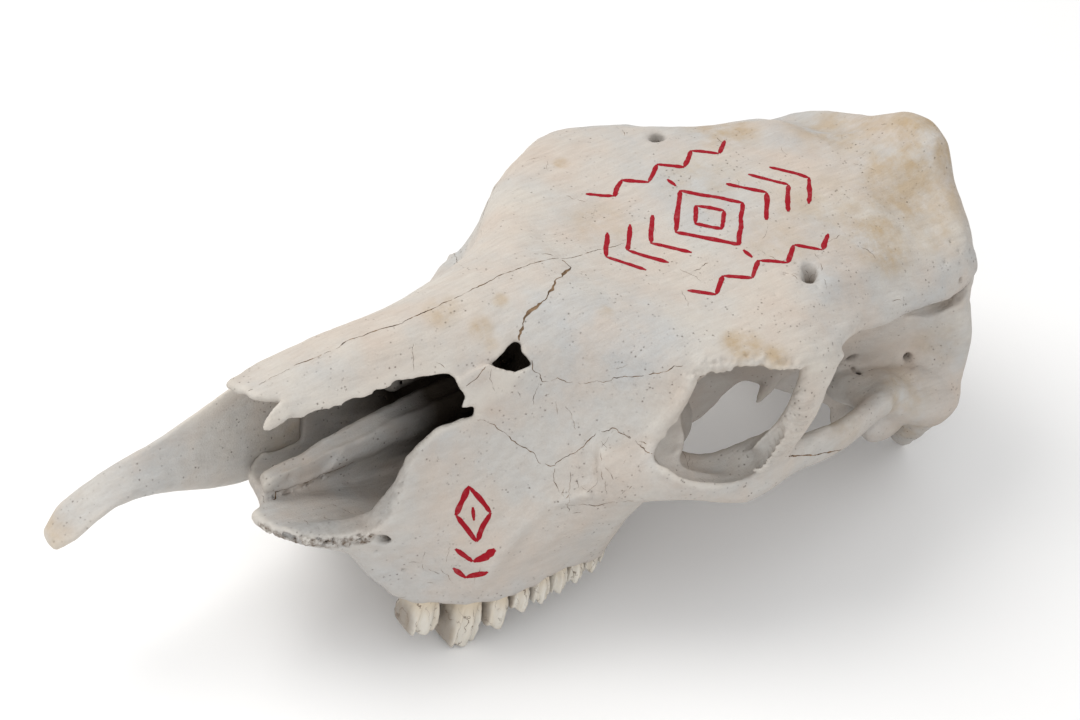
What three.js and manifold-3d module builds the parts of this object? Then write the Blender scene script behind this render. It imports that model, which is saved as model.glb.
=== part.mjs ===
// The cranium of a hornless cow: a weathered, bleached skull without its lower jaw and without
// its left incisive bone. It rests on its cheek teeth and on the two processes beside the
// occipital condyles.
//
// Millimetres. Before it is laid down the skull has its own frame: +X is the animal's left,
// -Y points out of the nose, +Z is up and the chewing surface of the teeth lies near z = 0.
import * as THREE from "three";
import { mergeVertices } from "three/addons/utils/BufferGeometryUtils.js";
import Module from "manifold-3d";

const wasm = await Module();
wasm.setup();

// Driving dimensions
const SUTURE_GAP = 0.3; // between neighbouring bones
const NASAL_ROOT_Y = -238;
const SHELF_TIP_LEFT_Y = -412; // front end of the left half of the hard palate
const SHELF_TIP_RIGHT_Y = -398;
const NUCHAL_Y = -9.5; // rear face of the cranium
const NAPE_START_Y = -46;
const NAPE_LEAN = 0.04; // share by which the nape comes forward from crest to base
const NAPE_BEND = [1, 11]; // how far its sides lie in front of its middle, low down and high up
const RIGHT_SQUEEZE = 4.5; // the right cheek lies this much further in
const RIGHT_LIFT = 1.5; // the right brow stands this much higher
const HUMP_SHIFT = 8; // the hump on the crown sits this far to the left
const RIGHT_KNOLLS = [[5, -78, 30], [-3, -42, 20]]; // on the crown's right: height, place, reach
const OUTSIDE = 135; // beyond the widest part of the head, for cuts
const BONE_WALL = 4.5; // thickness of the bone round the nasal cavity
const TOOTH_HALF_WIDTH = 10;
const TOOTH_SINK = 9; // how far a tooth stands in its socket
const ORBIT = { x: 118, y: -197, z: 119, deep: 74, long: 33, high: 31 };
const FORAMEN = { x: 65, y: -140, radius: 4.2, depth: 9 }; // over each eye

// Profile curves of the whole head: [y, size] pairs from nose to nape
const CROWN_Z = [[-432, 127], [-411, 133.5], [-373, 144], [-331, 152.5], [-291, 162], [-258, 166.5],
  [-238, 163], [-211, 163.5], [-161, 172.5], [-123, 180], [-87, 185], [-60, 189.5], [-42, 199],
  [-28, 210], [-18, 207], [NUCHAL_Y, 194]];
const ROOF_HALF = [[-432, 18], [-411, 22.5], [-373, 26], [-331, 29.5], [-309, 32], [-285, 40], [-260, 53],
  [-235, 76], [-215, 90], [-196, 100], [-176, 109], [-160, 107], [-140, 96], [-120, 88], [-104, 84],
  [-80, 80], [-55, 76], [-32, 72.5], [-20, 70], [NUCHAL_Y, 64]];
const ROOF_Z = [[-432, 116.5], [-411, 122.5], [-373, 126.5], [-331, 130], [-309, 135.5], [-285, 142.5],
  [-260, 149], [-235, 151], [-215, 155], [-196, 157], [-176, 155], [-160, 155], [-140, 157],
  [-120, 153], [-104, 150], [-80, 153], [-55, 159], [-32, 165], [-20, 161], [NUCHAL_Y, 150]];
const SIDE_HALF = [[-432, 33], [-400, 44], [-358, 53], [-331, 60], [-307, 72], [-280, 75], [-255, 83],
  [-235, 93], [-218, 88], [-205, 64], [-190, 44], [-160, 42], [-130, 48], [-104, 53], [-76, 58],
  [-50, 64], [-32, 74], [-20, 80], [NUCHAL_Y, 76]];
const SIDE_Z = [[-432, 88], [-400, 84], [-358, 70], [-331, 58], [-307, 50], [-280, 66], [-255, 84],
  [-235, 92], [-205, 100], [-160, 106], [-104, 106], [-50, 104], [-20, 112], [NUCHAL_Y, 112]];
const GUM_HALF = [[-432, 20], [-418, 22], [-404, 33], [-394, 38], [-380, 42], [-366, 46], [-353, 50],
  [-342, 54], [-330, 62], [-317, 67], [-300, 73], [-280, 74], [-255, 72], [-234, 68], [-222, 58],
  [-208, 36], [-190, 26], [-160, 24], [-130, 30], [-104, 37], [-76, 46], [-50, 58], [-30, 72],
  [-20, 84], [NUCHAL_Y, 82]];
const GUM_Z = [[-432, 55], [-404, 54.5], [-380, 50.5], [-366, 35], [-353, 19.5], [-342, 13.5], [-320, 14.5],
  [-300, 16], [-280, 19], [-264, 24], [-234, 21], [-222, 36], [-208, 68], [-190, 86], [-160, 87],
  [-130, 80], [-104, 71], [-76, 60], [-50, 56], [-30, 60], [-20, 66], [NUCHAL_Y, 70]];
const PALATE_Z = [[-432, 50], [-404, 49], [-380, 45], [-350, 34], [-317, 29], [-260, 27], [-226, 31],
  [-212, 64], [-196, 86], [-160, 85], [-130, 78], [-90, 65], [-50, 51], [-20, 46], [NUCHAL_Y, 50]];

// Arch of the roof between midline and edge: shares of the drop at 45 % and at 80 % of the half
const ARCH_NEAR = [[-432, 0.18], [-300, 0.16], [-250, 0.04], [-140, 0.03], [-80, 0.12], [-40, 0.46],
  [NUCHAL_Y, 0.4]];
const ARCH_FAR = [[-432, 0.62], [-300, 0.56], [-250, 0.34], [-200, 0.24], [-140, 0.24], [-80, 0.42],
  [-40, 0.74], [NUCHAL_Y, 0.68]];
// How fast the wall falls in under the roof's edge: shares of the way in and of the way down
const LIP_IN = [[-432, 0.3], [-260, 0.27], [-225, 0.36], [-196, 0.62], [-104, 0.7], [-50, 0.5],
  [NUCHAL_Y, 0.2]];
const LIP_DOWN = [[-432, 0.45], [-260, 0.45], [-225, 0.4], [-196, 0.24], [-104, 0.3], [-50, 0.36],
  [NUCHAL_Y, 0.5]];

// Nasal cavity: half-width, floor and height under the roof
const CAVITY_HALF = [[-440, 34], [-400, 38], [-360, 42], [-330, 42], [-300, 40], [-275, 30], [-250, 12],
  [-242, 4]];
const CAVITY_FLOOR = [[-440, 58], [-400, 58], [-360, 54], [-330, 52], [-300, 60], [-275, 84],
  [-250, 138], [-242, 150]];

// Teeth of one side, nose to nape: [y, length along the row, lowest point, lean of the crown]
const TEETH = [[-331, 18, -5, 3], [-309.5, 18, -14, 5], [-295, 12, -3, 2], [-283.5, 11, 6, 0],
  [-272, 11, 7.5, 0], [-260.5, 10.5, 9.5, 0], [-249.5, 10.5, 12, 0],
  [-238.5, 10, 13.5, 0], [-230.5, 5.5, 15, 0]];

const V = (x, y, z) => new THREE.Vector3(x, y, z);
const clamp01 = (t) => Math.min(1, Math.max(0, t));
const mix = (a, b, t) => a + (b - a) * t;

// Smooth curve through [place, value] pairs that doesn't swing past them.
function through(pairs) {
  const slope = (i) => (pairs[i + 1][1] - pairs[i][1]) / (pairs[i + 1][0] - pairs[i][0]);
  const tangents = pairs.map((_, i) => {
    if (i === 0) return slope(0);
    if (i === pairs.length - 1) return slope(i - 1);
    const before = slope(i - 1);
    const after = slope(i);
    return before * after <= 0 ? 0 : (2 * before * after) / (before + after);
  });
  return (place) => {
    const last = pairs.length - 2;
    const found = pairs.findIndex((pair) => pair[0] > place) - 1;
    const i = place >= pairs[last + 1][0] ? last : Math.max(0, found);
    const [x0, v0] = pairs[i];
    const [x1, v1] = pairs[i + 1];
    const t = clamp01((place - x0) / (x1 - x0));
    const span = x1 - x0;
    return (2 * t ** 3 - 3 * t ** 2 + 1) * v0 + (t ** 3 - 2 * t ** 2 + t) * span * tangents[i]
      + (3 * t ** 2 - 2 * t ** 3) * v1 + (t ** 3 - t ** 2) * span * tangents[i + 1];
  };
}

const crownZ = through(CROWN_Z);
const roofHalf = through(ROOF_HALF);
const roofZ = through(ROOF_Z);
const sideHalf = through(SIDE_HALF);
const sideZ = through(SIDE_Z);
const gumHalf = through(GUM_HALF);
const gumZ = through(GUM_Z);
const palateZ = through(PALATE_Z);
const archNear = through(ARCH_NEAR);
const archFar = through(ARCH_FAR);
const lipIn = through(LIP_IN);
const lipDown = through(LIP_DOWN);
const cavityHalf = through(CAVITY_HALF);
const cavityFloor = through(CAVITY_FLOOR);

// A three.js geometry as a solid that manifold-3d can join and cut.
function solid(geometry) {
  const bare = geometry.clone();
  bare.deleteAttribute("normal");
  bare.deleteAttribute("uv");
  const merged = mergeVertices(bare, 1e-3);
  return new wasm.Manifold(new wasm.Mesh({
    numProp: 3,
    vertProperties: new Float32Array(merged.attributes.position.array),
    triVerts: new Uint32Array(merged.index.array),
  }));
}

// Closed body through rings of equal length, each a list of points; both ends are capped.
function loft(rings) {
  const n = rings[0].length;
  const points = rings.flat();
  const faces = [];
  for (let r = 0; r < rings.length - 1; r++) {
    for (let i = 0; i < n; i++) {
      const j = (i + 1) % n;
      const [a, b, c, d] = [r * n + i, r * n + j, (r + 1) * n + j, (r + 1) * n + i];
      faces.push(a, b, c, a, c, d);
    }
  }
  for (const [ring, first, turned] of [[rings[0], 0, true], [rings.at(-1), (rings.length - 1) * n, false]]) {
    const centre = ring.reduce((sum, p) => sum.add(p), V(0, 0, 0)).divideScalar(n);
    const hub = points.push(centre) - 1;
    for (let i = 0; i < n; i++) {
      const a = first + i;
      const b = first + ((i + 1) % n);
      if (turned) faces.push(hub, b, a);
      else faces.push(hub, a, b);
    }
  }
  const geometry = new THREE.BufferGeometry().setFromPoints(points);
  geometry.setIndex(faces);
  const made = solid(geometry);
  if (made.volume() > 0) return made;
  for (let i = 0; i < faces.length; i += 3) [faces[i], faces[i + 1]] = [faces[i + 1], faces[i]];
  geometry.setIndex(faces);
  return solid(geometry);
}

// Evenly spaced numbers from a to b, both included.
const steps = (a, b, count) => Array.from({ length: count + 1 }, (_, i) => mix(a, b, i / count));

// Ring in the plane y, mirrored about the midline, from the half outline's guide points [x, z],
// with its own number of facets between each two.
function mirroredRing(y, guides, facets) {
  const curve = new THREE.CatmullRomCurve3(guides.map(([x, z]) => V(x, y, z)), false, "centripetal");
  const half = facets.flatMap((count, i) => steps(i, i + 1, count).slice(0, -1))
    .map((t) => curve.getPoint(t / facets.length));
  half.push(curve.getPoint(1));
  half[0].x = 0;
  half.at(-1).x = 0;
  const other = half.slice(1, -1).reverse().map((p) => V(-p.x, p.y, p.z));
  return [...half, ...other];
}

// Tapering limb along a path. Each station is [x, y, z, half across, half thick]; "across" lies
// along the given direction as nearly as the path allows.
function limb(stations, across, { sides = 12, spans = 10 } = {}) {
  const path = new THREE.CatmullRomCurve3(stations.map((s) => V(s[0], s[1], s[2])), false, "centripetal");
  const last = stations.length - 1;
  const wide = through(stations.map((s, i) => [i / last, s[3]]));
  const thick = through(stations.map((s, i) => [i / last, s[4]]));
  const rings = steps(0, 1, spans).map((t) => {
    const centre = path.getPoint(t);
    const along = path.getTangent(t);
    const u = across.clone().addScaledVector(along, -across.dot(along)).normalize();
    const v = along.clone().cross(u);
    return steps(0, 1, sides).slice(0, -1).map((s) => centre.clone()
      .addScaledVector(u, wide(t) * Math.cos(2 * Math.PI * s))
      .addScaledVector(v, thick(t) * Math.sin(2 * Math.PI * s)));
  });
  return loft(rings);
}

// Ellipsoid with radii along its own axes, turned by Euler angles in degrees.
function egg(x, y, z, rx, ry, rz, turn = [0, 0, 0], detail = 20) {
  const geometry = new THREE.SphereGeometry(1, detail, Math.round(detail * 0.6));
  geometry.scale(rx, ry, rz);
  const angles = turn.map(THREE.MathUtils.degToRad);
  geometry.applyMatrix4(new THREE.Matrix4().makeRotationFromEuler(new THREE.Euler(...angles)));
  geometry.translate(x, y, z);
  return solid(geometry);
}

// Prism over a [u, v] polygon, between two places on its axis. The polygon lies in y-z for axis
// x and in x-y for axis z.
const PRISM_AXES = {
  x: new THREE.Matrix4().makeBasis(V(0, 1, 0), V(0, 0, 1), V(1, 0, 0)),
  z: new THREE.Matrix4().identity(),
};
function prism(axis, polygon, from, to) {
  const shape = new THREE.Shape(polygon.map(([u, v]) => new THREE.Vector2(u, v)));
  const geometry = new THREE.ExtrudeGeometry(shape, { depth: to - from, bevelEnabled: false });
  geometry.translate(0, 0, from);
  geometry.applyMatrix4(PRISM_AXES[axis]);
  return solid(geometry);
}

// The same polygon with every edge moved outwards.
function grown(polygon, distance) {
  const turned = THREE.ShapeUtils.isClockWise(polygon.map(([u, v]) => new THREE.Vector2(u, v)));
  const ring = turned ? [...polygon].reverse() : polygon;
  return ring.map(([u, v], i) => {
    const [pu, pv] = ring[(i + ring.length - 1) % ring.length];
    const [nu, nv] = ring[(i + 1) % ring.length];
    const before = new THREE.Vector2(v - pv, pu - u).normalize();
    const after = new THREE.Vector2(nv - v, u - nu).normalize();
    const out = before.clone().add(after).normalize();
    const reach = distance / Math.max(0.4, out.dot(before));
    return [u + out.x * reach, v + out.y * reach];
  });
}

const largest = (body) => body.decompose().reduce((a, b) => (b.volume() > a.volume() ? b : a));
const joined = (parts) => parts.reduce((a, b) => a.add(b));
// Rises from 0 to 1 and falls back to 0 within a reach of a place
const bump = (y, place, reach) => Math.max(0, 1 - ((y - place) / reach) ** 2) ** 2;

// Right half drawn in at the cheek
const squeezed = (x, y) => x + clamp01(-x / 30) * RIGHT_SQUEEZE * bump(y, -270, 40);

// Hole over each eye
const browForamen = (side) => egg(side * FORAMEN.x, FORAMEN.y, crownZ(FORAMEN.y) - 4,
  FORAMEN.radius, FORAMEN.radius * 1.4, FORAMEN.depth, [0, 0, 0], 10);

// Body of the head: one long loft from the nasal tips to the nape. The nape leans forward below
// and at its sides, and its hump sits a little to the left.
function headLoft() {
  const places = [...steps(-432, -264, 12), ...steps(-251, -187, 8), ...steps(-176, -60, 9),
    ...steps(NAPE_START_Y, NUCHAL_Y, 5)];
  return loft(places.map((y) => {
    const [top, half, edge] = [crownZ(y), roofHalf(y), roofZ(y)];
    const [side, sideHigh] = [sideHalf(y), sideZ(y)];
    const [gum, gumHigh] = [gumHalf(y), gumZ(y)];
    const gumWidth = y < -222 ? 2 * TOOTH_HALF_WIDTH : mix(20, 10, clamp01((y + 222) / 14));
    const inner = Math.max(gum - gumWidth, gum * 0.45);
    const drop = top - edge;
    const ring = mirroredRing(y, [
      [0, top],
      [half * 0.2, top - drop * archNear(y) * 0.2],
      [half * 0.45, top - drop * archNear(y)],
      [half * 0.8, top - drop * archFar(y)],
      [half, edge],
      [mix(half, side, lipIn(y)), mix(edge, sideHigh, lipDown(y))],
      [side, sideHigh],
      [mix(side, gum, 0.6), mix(sideHigh, gumHigh, 0.55)],
      [gum, gumHigh],
      [inner, mix(gumHigh, palateZ(y), 0.4)],
      [0, palateZ(y)],
    ], [1, 1, 2, 2, 2, 2, 2, 1, 2, 1]);
    const hump = clamp01((y + 90) / 50);
    const knoll = RIGHT_KNOLLS.reduce((sum, [high, at, reach]) => sum + high * bump(y, at, reach), 0);
    const nape = clamp01((y - NAPE_START_Y) / (NUCHAL_Y - NAPE_START_Y));
    return ring.map(({ x, z }) => {
      const bend = mix(...NAPE_BEND, clamp01((z - 115) / 45)) * (x / 75) ** 2;
      return V(squeezed(x, y) + HUMP_SHIFT * hump * clamp01((z - 165) / 40),
        y + nape * (NAPE_LEAN * Math.min(0, z - 165) - bend),
        z + RIGHT_LIFT * clamp01((-x - 50) / 30) * bump(y, -185, 80)
          + knoll * bump(x, -45, 32) * clamp01((z - 150) / 20));
    });
  }));
}

function nasalCavity() {
  const places = [...steps(-440, -300, 7), -288, -275, -262, -250, -242];
  return loft(places.map((y) => {
    const top = crownZ(y) - BONE_WALL;
    const half = Math.min(cavityHalf(y), roofHalf(y) - 1);
    const edge = roofZ(y) - BONE_WALL;
    const floor = cavityFloor(y);
    const lipHalf = mix(roofHalf(y), sideHalf(y), lipIn(y)) - BONE_WALL;
    const lipHigh = Math.max(mix(roofZ(y), sideZ(y), lipDown(y)), mix(floor, edge, 0.5));
    const wide = Math.min(cavityHalf(y), sideHalf(y) - BONE_WALL);
    return mirroredRing(y, [
      [0, top],
      [half * 0.5, top - (top - edge) * 0.16],
      [half * 0.85, mix(top, edge, 0.62)],
      [half * 0.97, Math.max(edge - 2, mix(floor, top, 0.7))],
      [Math.min(cavityHalf(y), lipHalf), lipHigh],
      [wide * 0.94, mix(floor, lipHigh, 0.3)],
      [wide * 0.6, floor],
      [0, floor - 1],
    ], [1, 2, 1, 2, 2, 2, 1]).map((p) => V(squeezed(p.x, y), y, p.z));
  }));
}

// Eye sockets, drilled from the side towards the midline and backwards
const orbitHole = (side) => egg(side * ORBIT.x, ORBIT.y, ORBIT.z, ORBIT.deep, ORBIT.long, ORBIT.high,
  [0, 0, side * -14], 16);

// Bar behind the eye, from the roof's edge to the cheek bone
const postorbitalBar = (side) => limb([
  [side * 98, -152, 155, 16, 6],
  [side * 104, -157, 147, 12, 6],
  [side * 108, -164, 133, 9.5, 6],
  [side * 109, -170, 119, 9.5, 6.5],
  [side * 107, -176, 107, 11, 7],
  [side * 104, -182, 94, 13, 7.5],
], V(0, 1, 0.15), { sides: 10, spans: 8 });

// Cheek arch, from the face under the eye to the ear
const cheekArch = (side) => limb([
  [side > 0 ? 74 : -71, -258, 88, 20, 9],
  [side > 0 ? 92 : -88, -236, 92.5, 14, 8],
  [side > 0 ? 101 : -98, -214, 88, 7.5, 7],
  [side * 104, -196, 83, 7, 7.5],
  [side * 105, -184, 82, 9.5, 7],
  [side * 105, -168, 89, 12, 6.5],
  [side * 102, -150, 91.5, 12, 5.5],
  [side * 98, -127, 88.5, 11.5, 5],
  [side * 94, -109, 88, 11, 5],
  [side * 88, -92, 88.5, 9.5, 5.5],
  [side * 82, -76, 90, 8.5, 7],
  [side * 72, -64, 87, 9, 10],
], V(0, 0, 1), { sides: 9, spans: 17 });

// Floor of the eye socket, a shelf that runs inwards and up from the rim
const socketFloor = (side) => limb([
  [side * 70, -240, 102, 16, 8],
  [side * 84, -222, 89, 15, 6],
  [side * 91, -203, 82.5, 13, 4.5],
  [side * 95, -187, 85, 13, 4.5],
  [side * 100, -174, 95, 12, 4.5],
  [side * 105, -166, 108, 9, 4.5],
], V(1, 0, side * -0.5), { sides: 8, spans: 7 });

// Joint shelf for the lower jaw and the ridge from the ear to the nape
const jawShelf = (side) => limb([
  [side * 88, -84, 90, 9, 6],
  [side * 70, -76, 86, 15, 7],
  [side * 48, -72, 80, 16, 9],
], V(0, 1, 0), { sides: 8, spans: 4 });
const earRidge = (side) => limb([
  [side * 70, -72, 86, 9, 8],
  [side * 78, -58, 80, 10, 8],
  [side * 82, -40, 74, 11, 8],
  [side * 83, -28, 74, 12, 8],
  [side * 76, -18, 75, 12, 8],
], V(0, 0, 1), { sides: 8, spans: 6 });
const earCanal = (side) => egg(side * 72, -58, 64, 10, 16, 13, [0, 0, side * 10], 10);
const earDrum = (side) => egg(side * 50, -56, 54, 11, 18, 15, [0, 0, side * 20], 10);

// Swelling of the tear bone into the front of the eye socket, and the knob on the nape
const tearSwelling = (side) => egg(side * 54, -212, 92, 19, 24, 22, [0, 0, 0], 14);
const napeKnob = () => egg(4, -20, 146, 24, 11, 30, [0, 0, 0], 12);

// Occipital condyles and the processes beside them
const condyle = (side) => egg(side * 26, -12, 60, 21, 18, 25, [18, side * -18, side * 24], 12);
const rearProcess = (side) => limb([
  [side * 72, -30, 76, 20, 11],
  [side * 69, -32, 59, 14, 10],
  [side * 62, -25, 41, 9, 7.5],
  [side * 54, -13, 24, 4.5, 4],
], V(1, 0, 0), { sides: 10, spans: 6 });

// Thin wings that run back from the palate beside the rear nasal openings
const palateWing = (side) => limb([
  [side * 28, -236, 62, 24, 5],
  [side * 25, -214, 62, 28, 3.5],
  [side * 24, -190, 64, 26, 2.6],
  [side * 24, -168, 67, 23, 2.6],
  [side * 25, -152, 69, 18, 3],
  [side * 26, -140, 77, 10, 3],
  [side * 27, -127, 82, 5, 3],
], V(0, 0.12, 1), { sides: 8, spans: 9 });
const wingHook = (side) => limb([
  [side * 24, -172, 52, 7, 2.6],
  [side * 24, -162, 40, 4.5, 2.4],
  [side * 25, -156, 32, 2.5, 2],
], V(0, 1, 0), { sides: 8, spans: 4 });

// One cheek tooth: a column with buccal ribs and a slanting crown, tapered to its neck
function tooth(side, [y, long, low, lean]) {
  const gum = gumHalf(y);
  const high = gumZ(y) + TOOTH_SINK;
  const squared = (v) => Math.sign(v) * Math.abs(v) ** 0.7;
  const levels = [[high, 0.86], [gumZ(y) - 1, 0.92], [mix(low, gumZ(y), 0.3), 1.08], [low, 0.94]];
  return loft(levels.map(([z, swell]) => steps(0, 1, 10).slice(0, -1).map((s) => {
    const angle = 2 * Math.PI * s;
    const rib = swell * (1 + 0.07 * Math.cos(4 * angle));
    const across = TOOTH_HALF_WIDTH * rib * squared(Math.cos(angle));
    const along = (long / 2 + 0.35) * rib * squared(Math.sin(angle));
    const bevel = z === low ? (2.2 * across) / TOOTH_HALF_WIDTH : 0;
    const tip = (lean * (high - z)) / (high - low);
    return V(side * (gum - TOOTH_HALF_WIDTH - 0.5 + across - tip * 0.5), y + along - tip * 0.3, z - bevel);
  })));
}

// Right incisive bone, a curved blade from the broken-free muzzle tip up beside the nasal
const INCISIVE = [
  // y, then [x, z] of the lower inner, lower outer, outer bulge, upper and inner guide points
  [-502, [20, 38], [30, 35], [35, 39], [32, 43], [24, 43]],
  [-496, [17, 42], [31, 38], [39, 44], [36, 51], [24, 49]],
  [-484, [15, 55.5], [31, 48], [39, 54], [36, 61], [25, 59.5]],
  [-468, [16, 63.5], [32, 54], [39, 61], [34, 71.5], [26, 69]],
  [-450, [18, 61.5], [34, 52.5], [40, 63], [33, 80.5], [28, 72]],
  [-430, [21, 55.5], [36, 47.5], [41, 68], [31, 94], [29, 78]],
  [-412, [24, 49], [39, 41], [43, 73], [30, 106], [31, 82]],
  [-392, [27, 44.5], [42, 36], [45, 76], [30, 117], [34, 86]],
  [-360, [31, 44], [47, 33], [50, 76], [32, 125], [40, 87]],
];
function incisiveBlade(extra = 0) {
  const curves = [1, 2, 3, 4, 5].map((k) => [0, 1]
    .map((c) => through(INCISIVE.map((row) => [row[0], row[k][c]]))));
  return loft(steps(INCISIVE[0][0] - extra, INCISIVE.at(-1)[0] + extra, 15).map((y) => {
    const guides = curves.map(([x, z]) => V(-x(y), y, z(y)));
    const centre = guides.reduce((sum, p) => sum.add(p), V(0, 0, 0)).divideScalar(guides.length);
    guides.forEach((p) => p.addScaledVector(p.clone().sub(centre).normalize(), extra * 1.5));
    return new THREE.CatmullRomCurve3(guides, true, "centripetal").getPoints(12).slice(0, -1);
  }));
}

// Blade that stands on the palate's midline and carries the cartilage of the nose
const vomerBlade = () => limb([
  [-4, -404, 55, 4, 3],
  [-4, -370, 59, 8, 3.2],
  [-3, -330, 66, 14, 3.4],
  [-2, -290, 78, 18, 4],
  [-1, -262, 92, 26, 6],
], V(0, 0.1, 1), { sides: 8, spans: 9 });

// Broken side opening on the left, under the free edge of the nasal bone, in y-z
const SIDE_OPENING = [
  [-445, 118.5], [-428, 120.5], [-409, 124], [-385, 127], [-367, 129.5], [-350, 133.5], [-326, 133],
  [-322, 127], [-325, 120], [-315, 121], [-313, 112], [-320, 110], [-332, 108], [-338, 103],
  [-348, 94], [-353, 86], [-360, 77], [-371, 65], [-400, 60.5], [-445, 60.5],
];
// Front end of the right wall, where the incisive bone takes over, in y-z
const RIGHT_FRONT = [[-445, 118.5], [-428, 120.5], [-409, 124], [-385, 127], [-358, 130.5],
  [-359.4, 100], [-359.4, 60.5], [-445, 60.5]];
// Front edge of the nasal bones, in x-y: notched on the left
const NASAL_FRONT = [[-60, -445], [-60, -424], [-19, -424], [-11, -426], [0, -424], [5, -421],
  [11, -412], [15, -411], [18, -418], [21, -428], [26, -427], [60, -427], [60, -445]];
// Front ends of the palate's two halves, in x-y
const SHELF_FRONT = [[-60, -445], [-60, -380], [-31, -386], [-20, SHELF_TIP_RIGHT_Y], [-4, -400], [2, -402],
  [6, SHELF_TIP_LEFT_Y], [18, -411], [32, -402], [60, -390], [60, -445]];
// Small gap between nasal, frontal and lacrimal bones, in x-y
const LACRIMAL_GAP = [[34, -310], [34, -296], [30, -291], [36, -293], [40, -292], [42, -290], [40, -298]];

// Sutures
const NASAL_HALF = [[18.5, -446], [19.5, -428], [23.5, -411], [27, -373], [30.5, -331], [33.5, -309],
  [30, -291], [27, -284], [25, -277], [19, -266], [14, -258], [7, -246], [0, NASAL_ROOT_Y]];
const NASAL_SIDE = [[-446, 112], [-338, 112], [-326, 127], [-230, 127], [-230, 198], [-446, 198]];
const FRONTAL_REGION = [[-303, 140], [-290, 141], [-284, 132], [-278, 134.5], [-270, 131], [-261, 135],
  [-251, 140], [-226, 146], [-200, 140], [-190, 126], [-140, 126], [-110, 122], [-60, 126], [-30, 134],
  [10, 142], [10, 230], [-310, 230], [-312, 150]];
const LACRIMAL_REGION = [[-330, 150], [-300, 156], [-205, 156], [-205, 106], [-242, 106], [-246, 110],
  [-254, 113.5], [-261, 110], [-267, 103], [-272, 98], [-279, 92.5], [-285, 94], [-293, 99],
  [-304, 108], [-314, 111], [-330, 112]];
const CHEEK_REGION = [[-279, 92], [-272, 98], [-267, 103], [-261, 110], [-254, 113.5], [-246, 110],
  [-242, 106], [-195, 106], [-195, 130], [-140, 130], [-150, 108], [-166, 100], [-158, 96], [-122, 82],
  [-104, 77], [-104, 55], [-236, 55], [-252, 70], [-264, 73], [-276, 77], [-280, 85]];
const TEMPORAL_REGION = [[-190, 128], [-30, 136], [-44, 104], [-40, 74], [-44, 30], [-100, 40],
  [-190, 50]];
const MAXILLA_REGION = [[-450, -30], [-450, 170], [-212, 170], [-212, -30]];
const VOMER_REGION = [[-420, 60.5], [-262, 60.5], [-262, 118], [-420, 118]];
const OCCIPITAL_REGION = [[-42, -30], [-42, 170], [40, 170], [40, -30]];

function skullWhole() {
  const sides = [-1, 1];
  let body = headLoft();
  body = joined([body, ...sides.map(cheekArch)]);
  body = body.subtract(joined([...sides.map(orbitHole), nasalCavity()]));
  const pairs = [postorbitalBar, socketFloor, jawShelf, earRidge, earDrum, earCanal, tearSwelling, condyle, rearProcess,
    palateWing, wingHook];
  body = joined([body, napeKnob(), ...sides.flatMap((s) => pairs.map((make) => make(s))),
    ...sides.flatMap((s) => TEETH.map((row) => tooth(s, row)))]);
  const cuts = [
    prism("x", SIDE_OPENING, 1, 130),
    prism("x", RIGHT_FRONT, -130, -1),
    prism("z", NASAL_FRONT, 110, 200),
    prism("z", SHELF_FRONT, -40, 100),
    prism("z", LACRIMAL_GAP, 120, 180),
    incisiveBlade(SUTURE_GAP),
    egg(0, 4, 76, 17, 30, 16, [0, 0, 0], 16),
    ...sides.map(browForamen),
  ];
  return body.subtract(joined(cuts)).add(vomerBlade());
}

// Parting the skull: each region takes its bone and leaves a gap to what remains
const SIDES = [["left", 1], ["right", -1]];
const HALF_GAP = SUTURE_GAP * 0.5;
const bones = {};
let remaining = skullWhole();
function take(name, region, around) {
  bones[name] = largest(remaining.intersect(region));
  remaining = remaining.subtract(around);
}
function takeThrough(name, region, from, to) {
  const around = prism("x", grown(region, SUTURE_GAP), from - SUTURE_GAP, to + SUTURE_GAP);
  take(name, prism("x", region, from, to), around);
}
function takeAside(name, region, near) {
  for (const [label, side] of SIDES) {
    takeThrough(name + "_" + label, region, ...(side > 0 ? [near, OUTSIDE] : [-OUTSIDE, -near]));
  }
}
for (const [label, side] of SIDES) {
  const plan = [[side * HALF_GAP, -446], ...NASAL_HALF.map(([x, y]) => [side * Math.max(x, HALF_GAP), y])];
  const [region, around] = [0, SUTURE_GAP].map((distance) => prism("z", grown(plan, distance), 100, 200)
    .intersect(prism("x", grown(NASAL_SIDE, distance), -OUTSIDE, OUTSIDE)));
  take("nasal_" + label, region, around);
}
takeAside("lacrimal", LACRIMAL_REGION, 34);
takeThrough("frontal", FRONTAL_REGION, -OUTSIDE, OUTSIDE);
takeAside("zygomatic", CHEEK_REGION, 58);
takeThrough("vomer", VOMER_REGION, -9, 7);
takeAside("maxilla", MAXILLA_REGION, HALF_GAP);
takeAside("temporal", TEMPORAL_REGION, 54);
takeThrough("occipital", OCCIPITAL_REGION, -OUTSIDE, OUTSIDE);
bones.braincase = largest(remaining);
bones.incisive_right = incisiveBlade();

function asGeometry(made) {
  const { numProp, vertProperties, triVerts } = made.getMesh();
  const geometry = new THREE.BufferGeometry();
  const count = vertProperties.length / numProp;
  const positions = new Float32Array(count * 3);
  for (let i = 0; i < count; i++) positions.set(vertProperties.subarray(i * numProp, i * numProp + 3), 3 * i);
  geometry.setAttribute("position", new THREE.BufferAttribute(positions, 3));
  geometry.setIndex(new THREE.BufferAttribute(triVerts, 1));
  return geometry;
}

// Weathered bone, each bone a little different in tone
const BONE_TONES = { frontal: 0xe4dccb, nasal: 0xe2d8c6, incisive: 0xd9d5cc, maxilla: 0xdfd6cc,
  occipital: 0xd8cfc2, vomer: 0xcbbfb2 };
const boneMaterial = (name) => new THREE.MeshStandardMaterial({
  color: BONE_TONES[name.split("_")[0]] ?? 0xddd5c9,
  roughness: 0.82,
  metalness: 0,
});

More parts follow.
